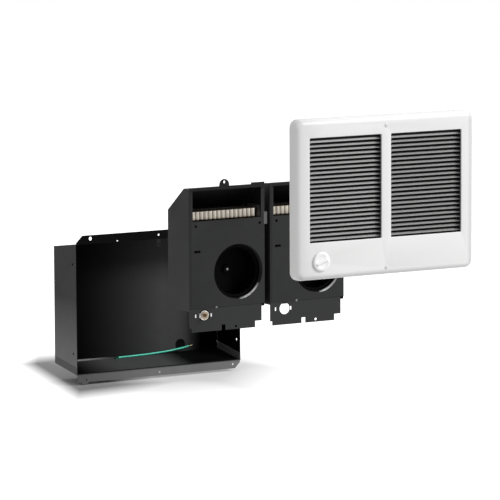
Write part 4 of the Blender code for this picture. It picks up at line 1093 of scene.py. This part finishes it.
class HEATER_OT_elements(bpy.types.Operator):
    """Add the pleated element ribbons in the outlets"""

    bl_idname = "heater.elements"
    bl_label = "Elements"

    ribbon = 0.7 * MM
    bend_share = 0.86                    # radius of a bend, as a share of half a pleat
    ribbon_corner = 0.3 * MM
    swell = 0.5                          # how much thicker the ribbon is near its foot and top
    swell_from = 0.44                    # of the height, from its middle

    def pleated_path(self, width, depth, height, pleats):
        """Arcs of more than half a turn, bent by turns to the front and to the back, side by side."""
        half = width / pleats / 2
        bend = half * self.bend_share
        past = np.arccos(half / 2 / bend)
        turn = np.linspace(-past, np.pi + past, 13)
        fold = np.arange(2 * pleats)
        way = np.where(fold % 2 == 0, -1.0, 1.0)
        inset = bend + self.ribbon / 2
        centre_y = np.where(fold % 2 == 0, inset, depth - inset)
        x = half * (fold + 0.5)[:, None] - bend * np.cos(turn)[None, :]
        y = centre_y[:, None] + way[:, None] * bend * np.sin(turn)[None, :]
        x = self.ribbon / 2 + (x - x.min()) / np.ptp(x) * (width - self.ribbon)
        return np.stack([x.ravel(), y.ravel(), np.full(x.size, height / 2)], 1)

    def execute(self, context):
        """Carry an upright section, thicker at both ends, along the pleats."""
        pleats = context.scene.heater_sizes.pleat_count
        for side in SIDES:
            node = side + "_element_ribbon"
            low = corner(node)
            width, depth, height = high_corner(node) - low
            path = self.pleated_path(width, depth, height, pleats)
            up = np.tile([0, 0, 1.0], (len(path), 1))
            section = rounded_loop(self.ribbon, height, self.ribbon_corner, 2)
            section[:, 0] *= 1 + self.swell * (np.abs(section[:, 1]) > height * self.swell_from)
            add_piece(side + "_pleated_ribbon", carried(section, path, np.cross(directions(path), up), up),
                      "heater_" + side, [node], finish("element"), sharp=40, place=low)
        return {"FINISHED"}


class HEATER_OT_rivets(bpy.types.Operator):
    """Add the hollow rivets on the plates' fold lines"""

    bl_idname = "heater.rivets"
    bl_label = "Rivets"

    proud = 1.3 * MM

    def execute(self, context):
        """Turn a profile with a hollow middle and a round head."""
        for side in SIDES:
            node = side + "_rivet"
            centre, head, depth = front_of(node)
            centre[1] += self.proud
            back = self.proud - depth
            profile = [(0, 0.2 * MM), (head * 0.22, 0.25 * MM), (head * 0.3, 1.15 * MM),
                       (head * 0.45, self.proud), (head * 0.7, 1.1 * MM), (head * 0.9, 0.75 * MM),
                       (head, GAP), (head * 0.5, GAP), (head * 0.5, back), (0, back)]
            add_piece(side + "_pop_rivet", turned(profile, 32), "heater_" + side, [node],
                      finish("rivet_zinc"), sharp=35, place=centre)
        return {"FINISHED"}


class HEATER_OT_thermostat(bpy.types.Operator):
    """Add the thermostat's threaded bush with its nut and washer, and its flatted shaft"""

    bl_idname = "heater.thermostat"
    bl_label = "Thermostat"

    bore = 3.6 * MM
    bush_wall = 1.6 * MM
    washer_height = 1.9 * MM
    thread_height = 0.18 * MM
    thread_points = 9
    nut_flats = 0.80                     # a nut's flats, as a share of the washer's radius
    flat_length = 8 * MM                 # of the shaft's end that has a flat
    flat_share = 0.55                    # the flat's distance from the axis, of the shaft's radius

    def washer(self, outer, depth):
        """Flat ring with a soft front edge."""
        inner = self.bore + 2 * MM
        front = self.washer_height - depth
        return turned([(inner, -depth), (outer, -depth), (outer, front - 0.3 * MM),
                       (outer - 0.3 * MM, front), (inner, front)], 64)

    def nut(self, outer, depth):
        """Turned ring whose radius is held to that of a hexagon: its flats over the cosine."""
        def hexagon(radius, angle, forward):
            """The smaller of the radius and the flats over the cosine of the angle from a flat."""
            sector = np.mod(angle + np.pi / 6, np.pi / 3) - np.pi / 6
            return np.minimum(radius, outer * self.nut_flats / np.cos(sector))

        inner, wide = self.bore + 1.4 * MM, outer * 0.93
        foot = self.washer_height - depth
        return turned([(inner, foot), (wide, foot), (wide, -0.6 * MM), (outer * 0.8, -0.1 * MM),
                       (inner, -0.1 * MM)], 72, hexagon)

    def bush(self, depth):
        """Tube with a zigzag thread: every second point stands out."""
        wall = self.bore + self.bush_wall
        thread = [(wall + self.thread_height * (k % 2), -depth * (1 - share) - 0.02 * MM)
                  for k, share in enumerate(np.linspace(0, 1, self.thread_points))]
        end = [(self.bore + 1.2 * MM, 0), (self.bore, 0)]
        return turned([(self.bore, -depth), (wall, -depth), *thread, *end], 48)

    def shaft(self, radius, length):
        """Rod whose radius near its end is held to a flat: the flat's distance over the cosine."""
        def flatted(radii, angle, forward):
            """The smaller of the radius and the flat's distance over the cosine, near the end."""
            facing = np.cos(angle)
            limit = np.where(facing > 0.2, radius * self.flat_share / np.maximum(facing, 0.2), 1.0)
            return np.where(forward > -self.flat_length, np.minimum(radii, limit), radii)

        step = 0.01 * MM
        return turned([(0, 0), (radius - 0.5 * MM, 0), (radius, -0.5 * MM),
                       (radius, step - self.flat_length), (radius, -step - self.flat_length),
                       (radius, -length), (0, -length)], 48, flatted)

    def execute(self, context):
        """Put the nut, the washer, the bush and the shaft on their solids' axes."""
        centre, outer, depth = front_of("thermostat_collar")
        add_piece("thermostat_nut", self.nut(outer, depth), "heater_left", [],
                  finish("brass"), sharp=25, place=centre)
        add_piece("thermostat_washer", self.washer(outer, depth), "heater_left", [],
                  finish("bright_steel"), sharp=30, place=centre)
        add_piece("thermostat_bush", self.bush(depth), "heater_left", ["thermostat_collar"],
                  finish("brass"), sharp=30, place=centre)
        centre, radius, length = front_of("thermostat_shaft")
        add_piece("thermostat_spindle", self.shaft(radius, length), "thermostat_shaft",
                  ["thermostat_shaft"], finish("brass"), sharp=30, place=centre)
        return {"FINISHED"}


class HEATER_OT_grille(bpy.types.Operator):
    """Add the pressed grille shell with its rounded edge and its rolled openings"""

    bl_idname = "heater.grille"
    bl_label = "Grille shell"

    side_step = 0.5 * MM                 # where the side meets the rounded edge
    knob_hole = 13 * MM
    screw_hole = 4.6 * MM
    bank_corner = 1.6 * MM

    def rim(self, sizes):
        """Loops from the back round the edge: straight side, then a quarter of an ellipse."""
        width, depth, height = GRILLE_SPAN
        turn = np.linspace(0, np.pi / 2, 13)
        step, edge_depth = self.side_step, sizes.grille_edge_depth
        rounding = np.stack([step + (sizes.grille_edge - step) * (1 - np.cos(turn)),
                             edge_depth * (1 - np.sin(turn))], 1)
        side = np.array([[0, depth], [0, depth * 0.8], [0, edge_depth + 1.6 * MM],
                         [step * 0.5, edge_depth + 0.9 * MM]])
        profile = np.concatenate([side, rounding])
        loops = np.stack([rounded_loop(width - 2 * inset, height - 2 * inset,
                                       sizes.grille_corner - 0.72 * inset) for inset in profile[:, 0]])
        return loops, profile[:, 1]

    def openings(self, sizes):
        """Place, width, height, roll and depth of each opening, from the middle of the face."""
        half_height = GRILLE_SPAN[2] / 2
        bank_up = sizes.bank_height / 2 + sizes.bank_bottom - half_height
        bank_across = (sizes.middle_bar + sizes.bank_width) / 2
        found = [((side * bank_across, bank_up), sizes.bank_width, sizes.bank_height, 1.2 * MM, 3.5 * MM)
                 for side in (-1, 1)]
        for node, wide, roll, deep in (("knob", self.knob_hole, 0.8 * MM, 0.8 * MM),
                                       ("grille_screw_top", self.screw_hole, 0.4 * MM, 0.9 * MM),
                                       ("grille_screw_bottom", self.screw_hole, 0.4 * MM, 0.9 * MM)):
            across, _, up = middle(node) - GRILLE_FRONT
            found.append(((across, up - half_height), wide, wide, roll, deep))
        return found

    def lip(self, place, wide, high, roll, deep):
        """Loops of a rolled lip: a quarter turn in from the face, then straight back."""
        angle = np.linspace(0, np.pi / 2, 5)
        profile = np.stack([roll * (1 - np.sin(angle)), roll * (1 - np.cos(angle))], 1)
        if deep > roll:
            profile = np.concatenate([profile, [[0, deep]]])
        is_round = wide <= self.knob_hole
        radius = wide / 2 - 0.01 * MM if is_round else self.bank_corner
        loops = np.stack([rounded_loop(wide + 2 * out, high + 2 * out, radius + out, 6)
                          for out in profile[:, 0]])
        return loops + place, profile[:, 1]

    def execute(self, context):
        """Join the rim's loops, the openings' lips and the flat face between them."""
        sizes = context.scene.heater_sizes
        half_height = GRILLE_SPAN[2] / 2
        loops, depths = self.rim(sizes)
        shapes = [stacked(loops, depths, half_height)]
        holes = []
        for opening in self.openings(sizes):
            lip, lip_depths = self.lip(*opening)
            holes.append(lip[0])
            shapes.append(stacked(lip, lip_depths, half_height))
        flat, faces = filled(loops[-1], holes)
        face = np.stack([flat[:, 0], np.zeros(len(flat)), flat[:, 1] + half_height], 1)
        shapes.append((face, faces))
        piece = add_piece("grille_shell", merge_shapes(shapes), "grille", ["grille_frame"],
                          finish("powder_white"), sharp=40, place=GRILLE_FRONT,
                          outward=Vector((0, -1, 0)))
        wall = piece.modifiers.new("sheet", "SOLIDIFY")
        wall.thickness = sizes.grille_sheet
        wall.offset = -1
        return {"FINISHED"}


class HEATER_OT_louvres(bpy.types.Operator):
    """Add the two banks of louvre blades, and black slats and rails behind them as painted shade"""

    bl_idname = "heater.louvres"
    bl_label = "Louvres"

    rail = 2 * MM
    slat_sheet = 0.35 * MM
    behind_blades = 1 * MM
    bow = 0.25 * MM                      # of a blade, at its middle
    dip_reach = 3.6                      # length of a blade's bent end, in rails

    def blade_section(self, sizes):
        """A line that climbs to the back with a slight bow, thickened both ways, with a blunt nose."""
        share = np.linspace(0, 1, 5)
        bow = self.bow * np.sin(np.pi * share)
        line = np.stack([share * sizes.louvre_depth, sizes.louvre_rise * share + bow], 1)
        half = sizes.louvre_sheet / 2
        ways, offset = directions(line), normals(line) * half
        nose, tail = line[0] - ways[0] * half, line[-1] + ways[-1] * half
        section = np.concatenate([[nose], line + offset, [tail], (line - offset)[::-1]])
        section[:, 0] = np.clip(section[:, 0], 0, None)
        return section

    def blades(self, sizes, length, first, pitch):
        """The section carried across at each lift, and bent down by a square near its left end."""
        end = np.array([0.5, 1.0, 1.6, 2.4, 3.4, 4.6]) * self.rail
        across = np.concatenate([end, length - end[::-1]])
        near = np.clip(1 - (across - self.rail / 2) / (self.dip_reach * self.rail), 0, 1)
        dip = sizes.louvre_dip * near ** 2
        section = self.blade_section(sizes)
        forward, upward = (np.tile(way, (len(across), 1)) for way in ([0, 1.0, 0], [0, 0, 1.0]))
        return [carried(section, np.stack([across, 0 * across, lift - dip], 1), forward, upward)
                for lift in first + pitch * np.arange(sizes.louvre_count)]

    def guard(self, sizes, length, height, first, pitch):
        """Steep black slats one pitch high behind the blades, between two upright rails: painted shade."""
        front = sizes.louvre_depth + self.behind_blades
        sheet, reach = self.slat_sheet, sizes.shade_slat_depth
        steep = np.array([[0, 0], [sheet, -sheet], [reach, pitch + 0.25 * MM],
                          [reach - sheet, pitch + 0.6 * MM]]) + (front, first)
        shapes = [slab(steep + (0, pitch * k), self.rail / 2, length - self.rail / 2)
                  for k in range(sizes.louvre_count)]
        depth = front + reach + self.behind_blades
        plate = rounded_loop(depth, height, 1.5 * MM, 4) + (depth / 2, height / 2)
        return shapes + [slab(plate, start, start + self.rail) for start in (0, length - self.rail)]

    def execute(self, context):
        """Spread blades evenly over each opening, and set a slat behind each of them."""
        sizes = context.scene.heater_sizes
        slot = sizes.bank_height / sizes.louvre_count / 2
        pitch = (sizes.bank_height - slot) / (sizes.louvre_count - 1)
        for side in SIDES:
            node = "louvres_" + side
            low = corner(node)
            length, _, height = high_corner(node) - low
            first = GRILLE_FRONT[2] + sizes.bank_bottom - low[2] - slot
            blades = self.blades(sizes, length, first, pitch)
            add_piece("louvre_bank_" + side, merge_shapes(blades), "grille", [node],
                      finish("louvre_white"), sharp=30, place=low)
            # Painted shade: black slats and rails behind the blades.
            guard = self.guard(sizes, length, height, first, pitch)
            add_piece("louvre_shade_slats_" + side, merge_shapes(guard), "grille", [node],
                      finish("guard_black"), sharp=30, place=low)
        return {"FINISHED"}


class HEATER_OT_screws(bpy.types.Operator):
    """Add the grille's two cross-head screws"""

    bl_idname = "heater.screws"
    bl_label = "Screws"

    proud = 1.6 * MM
    dome = 1.0 * MM
    recess = 0.9 * MM
    arm_share = 0.16                     # half width of the cross, as a share of the head's radius
    reach_share = 0.62                   # reach of the cross
    shallower = 0.6                      # how much of the recess is lost towards the head's edge
    stem_share = 0.55
    point_length = 4 * MM
    point_radius = 0.4 * MM

    def head(self, radius):
        """A dome that falls with the share to the power 2.5, less a cross that is shallower outwards."""
        angle = full_turn(48)
        share = np.linspace(0.04, 1, 15)[:, None]
        rings = radius * share * np.ones_like(angle)
        x, z = rings * np.cos(angle), rings * np.sin(angle)
        dome = self.proud - self.dome * share ** 2.5
        cross = ((np.minimum(np.abs(x), np.abs(z)) < radius * self.arm_share)
                 & (np.maximum(np.abs(x), np.abs(z)) < radius * self.reach_share))
        return rings, angle, np.where(cross, dome - self.recess * (1 - share * self.shallower), dome)

    def execute(self, context):
        """Put a head with its pointed stem on each screw's axis."""
        for end in ("top", "bottom"):
            node = "grille_screw_" + end
            centre, radius, depth = front_of(node)
            centre[1] += self.proud
            length = depth - self.proud
            stem = radius * self.stem_share
            tail = [[radius, GAP], [stem, GAP], [stem, self.point_length - length],
                    [self.point_radius, -length]]
            add_piece("cross_head_screw_" + end, relief(*self.head(radius), tail), "grille", [node],
                      finish("screw_white"), sharp=40, place=centre)
        return {"FINISHED"}


class HEATER_OT_knob(bpy.types.Operator):
    """Add the thermostat knob with its dished face and its grip"""

    bl_idname = "heater.knob"
    bl_label = "Knob"

    dish_depth = 1.1 * MM
    dish_level = 0.4                     # the dish is level out to this share of the radius
    dish_bank = 0.36                     # and climbs to the rim over this share
    rim_share = 0.78                     # the rim's rounding starts at this share
    foot_share = 0.12                    # height of the rim's outer foot, of the rim's height
    grip_half_width = 3.4 * MM
    grip_taper = 0.9 * MM                # what a half width gains at one end and loses at the other
    grip_flank = 4.5 * MM
    grip_reach = 0.80                    # of the knob's radius
    grip_end = 3.5 * MM
    hub_radius = 6.2 * MM
    socket_radius = 5 * MM

    def face(self, sizes):
        """A dish, a rim that falls as a quarter circle, and a grip with smooth flanks over both."""
        outer, rim = sizes.knob_radius, sizes.knob_height
        angle = full_turn(128)
        share = np.concatenate([np.linspace(0.03, 0.76, 32), np.linspace(self.rim_share, 1, 13)])[:, None]
        radius = outer * share * np.ones_like(angle)
        x, z = radius * np.cos(angle), radius * np.sin(angle)
        dish = rim - self.dish_depth * (1 - smooth_step((share - self.dish_level) / self.dish_bank))
        down = ((share - self.rim_share) / (1 - self.rim_share)).clip(0, 1)
        edge = np.sqrt(np.clip(1 - down ** 2, 0, 1))
        rounding = rim * self.foot_share + rim * (1 - self.foot_share) * edge
        base = np.where(share > self.rim_share, rounding, dish)
        along = x * math.sin(sizes.grip_angle) + z * math.cos(sizes.grip_angle)
        beside = x * math.cos(sizes.grip_angle) - z * math.sin(sizes.grip_angle)
        half_width = self.grip_half_width + self.grip_taper * np.clip(along / outer, -1, 1)
        flanks = smooth_step(0.5 + (half_width - np.abs(beside)) / self.grip_flank)
        ends = smooth_step((self.grip_reach * outer - np.abs(along)) / self.grip_end)
        return radius, angle, base + flanks * ends * np.maximum(rim + sizes.grip_height - base, 0)

    def execute(self, context):
        """Put the relief of the face on a stem whose end is hollow."""
        sizes = context.scene.heater_sizes
        outer = sizes.knob_radius
        across, _, up = middle("knob")
        centre = np.array([across, GRILLE_FRONT[1] - GAP, up])
        length = high_corner("knob")[1] - centre[1]
        tail = [[outer, 0.4 * MM], [outer - 0.4 * MM, 0], [self.hub_radius, 0],
                [self.hub_radius, -length], [self.socket_radius, -length],
                [self.socket_radius, 1 * MM], [0.5 * MM, 1 * MM]]
        add_piece("dished_knob", relief(*self.face(sizes), tail), "knob", ["knob"],
                  finish("resin_white"), sharp=50, place=centre)
        return {"FINISHED"}


class HEATER_OT_stage(bpy.types.Operator):
    """Add the pale floor, the sky and the soft lamps"""

    bl_idname = "heater.stage"
    bl_label = "Floor and lamps"

    floor_below = 0.2 * MM
    floor_rings = (0.02, 0.5, 1.2, 2.2, 4.0, 8.0)
    key_place, key_target, key_size = (2.9, -3.6, 3.0), (0, -0.6, 0.1), 1.6
    rear_place, rear_target, rear_size = (1.2, 0.67, 2.66), (0, -0.05, -0.1), 0.7

    # Painted light: where the floor glows white, hiding the floating pieces' shadows and edging the can's.
    # A direction, and how far along it the white starts and is full. The shadow's right part is painted a
    # little paler.
    faint_start, faint_end, faint_share = -0.11, -0.01, 0.28
    front_whites = (((0.145, -1, 0), 0.117, 0.242), ((-0.83, -1, 0), -0.009, 0.438))
    side_whites = (((-0.973, 0.230, 0), 0.1725, 0.218), ((-0.7, 0.7, 0), 0.233, 0.275),
                   ((0, 1, 0), 0.205, 0.345), ((1, -1, 0), 0.15, 0.59), ((1, 0, 0), 0.2, 0.34))

    def execute(self, context):
        """Add the floor, the sky and two lamps."""
        levels = context.scene.heater_levels
        self.add_floor(context)
        self.add_sky(context, levels.sky)
        self.lamp("key_lamp", self.key_place, self.key_target, self.key_size, levels.key)
        self.lamp("rear_lamp", self.rear_place, self.rear_target, self.rear_size, levels.rear)
        return {"FINISHED"}

    def add_floor(self, context):
        """Rings round the middle, closed by one face, just below the lowest piece."""
        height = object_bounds()[0][2] - self.floor_below
        radius = np.array(self.floor_rings)[:, None]
        angle = full_turn(64)
        rings = np.stack(np.broadcast_arrays(radius * np.cos(angle), radius * np.sin(angle), height), -1)
        faces = grid_faces(len(radius), angle.size)
        faces.append(list(range(angle.size)))
        mesh = bpy.data.meshes.new("floor")
        mesh.from_pydata(rings.reshape(-1, 3).tolist(), [], faces)
        floor = bpy.data.objects.new("floor", mesh)
        context.scene.collection.objects.link(floor)
        mesh.materials.append(self.floor_material(context.scene.heater_colours.floor_white))
        floor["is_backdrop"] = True

    def floor_material(self, colour):
        """Diffuse floor that keeps the can's shadow, and glows white away from it as painted light."""
        look = Finish("floor", colour, 0.9, 0.0, 0.0)
        look.paint(look.tinted(look.noise(3, 2), 0.99, 1.01))
        right_part = look.along("X", self.faint_start, self.faint_end)
        faint = look.remapped(right_part, 0.0, 1.0, 0.0, self.faint_share)
        front = look.combined("MINIMUM", *(look.toward(*white) for white in self.front_whites))
        away = look.combined("MAXIMUM", faint, front)
        for white in self.side_whites:
            away = look.combined("MAXIMUM", away, look.toward(*white))
        # Painted light: the glow, seen by camera and gloss rays, hides shadows where the masks say.
        seen = look.times(away, straight_rays(look.tree))
        glow = look.add("Emission", {"Color": WHITE_LIGHT, "Strength": seen})
        total = look.add("AddShader", {0: look.shader.outputs["BSDF"], 1: glow.outputs["Emission"]})
        output = look.tree.nodes["Material Output"]
        look.tree.links.new(total.outputs["Shader"], output.inputs["Surface"])
        return look.material

    def add_sky(self, context, strength):
        """Even light, and plain white where the background is seen."""
        world = context.scene.world or bpy.data.worlds.new("sky")
        context.scene.world = world
        world.use_nodes = True
        tree = world.node_tree
        tree.nodes.clear()
        even = add_node(tree, "Background", {"Color": WHITE_LIGHT, "Strength": strength})
        seen = add_node(tree, "Background", {"Color": WHITE_LIGHT, "Strength": 1.0})
        sky = add_node(tree, "MixShader", {"Fac": straight_rays(tree), 1: even.outputs["Background"],
                                           2: seen.outputs["Background"]})
        add_node(tree, "OutputWorld", {"Surface": sky.outputs["Shader"]})

    def lamp(self, name, place, target, size, power):
        """A round lamp that looks at its target."""
        data = bpy.data.lights.new(name, "AREA")
        data.shape = "DISK"
        data.size = size
        data.energy = power
        lamp = bpy.data.objects.new(name, data)
        lamp.location = place
        lamp.rotation_mode = "QUATERNION"
        lamp.rotation_quaternion = (Vector(target) - Vector(place)).to_track_quat("-Z", "Y")
        bpy.context.scene.collection.objects.link(lamp)


OPERATORS = (
    HEATER_OT_camera, HEATER_OT_ground_wire, HEATER_OT_can, HEATER_OT_heaters,
    HEATER_OT_inlet_rings, HEATER_OT_blower_wheels, HEATER_OT_elements, HEATER_OT_rivets,
    HEATER_OT_thermostat, HEATER_OT_grille, HEATER_OT_louvres, HEATER_OT_screws, HEATER_OT_knob,
    HEATER_OT_stage)


class HEATER_PT_panel(bpy.types.Panel):
    """Lists the heater's pieces, sizes and colours"""

    bl_idname = "HEATER_PT_panel"
    bl_label = "In-wall fan heater"
    bl_space_type = "VIEW_3D"
    bl_region_type = "UI"
    bl_category = "Heater"

    def draw(self, context):
        """A button for each operator and a box for each group of values."""
        layout = self.layout
        for operator in OPERATORS:
            layout.operator(operator.bl_idname)
        for group in (context.scene.heater_sizes, context.scene.heater_colours,
                      context.scene.heater_levels):
            box = layout.box()
            for name in group.bl_rna.properties.keys():
                if name not in ("rna_type", "name"):
                    box.prop(group, name)


CLASSES = (HeaterSizes, HeaterColours, StageLevels, *OPERATORS, HEATER_PT_panel)


def register():
    """Add the classes, and the groups of values to the scene."""
    for item in CLASSES:
        bpy.utils.register_class(item)
    bpy.types.Scene.heater_sizes = PointerProperty(type=HeaterSizes)
    bpy.types.Scene.heater_colours = PointerProperty(type=HeaterColours)
    bpy.types.Scene.heater_levels = PointerProperty(type=StageLevels)


def unregister():
    """Take away what register adds, in reverse order."""
    del bpy.types.Scene.heater_levels
    del bpy.types.Scene.heater_colours
    del bpy.types.Scene.heater_sizes
    for item in reversed(CLASSES):
        bpy.utils.unregister_class(item)


def main():
    """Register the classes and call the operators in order."""
    register()
    bpy.context.scene.view_settings.view_transform = "Standard"
    for operator in OPERATORS:
        group, name = operator.bl_idname.split(".")
        getattr(getattr(bpy.ops, group), name)()


if __name__ == "__main__":
    main()
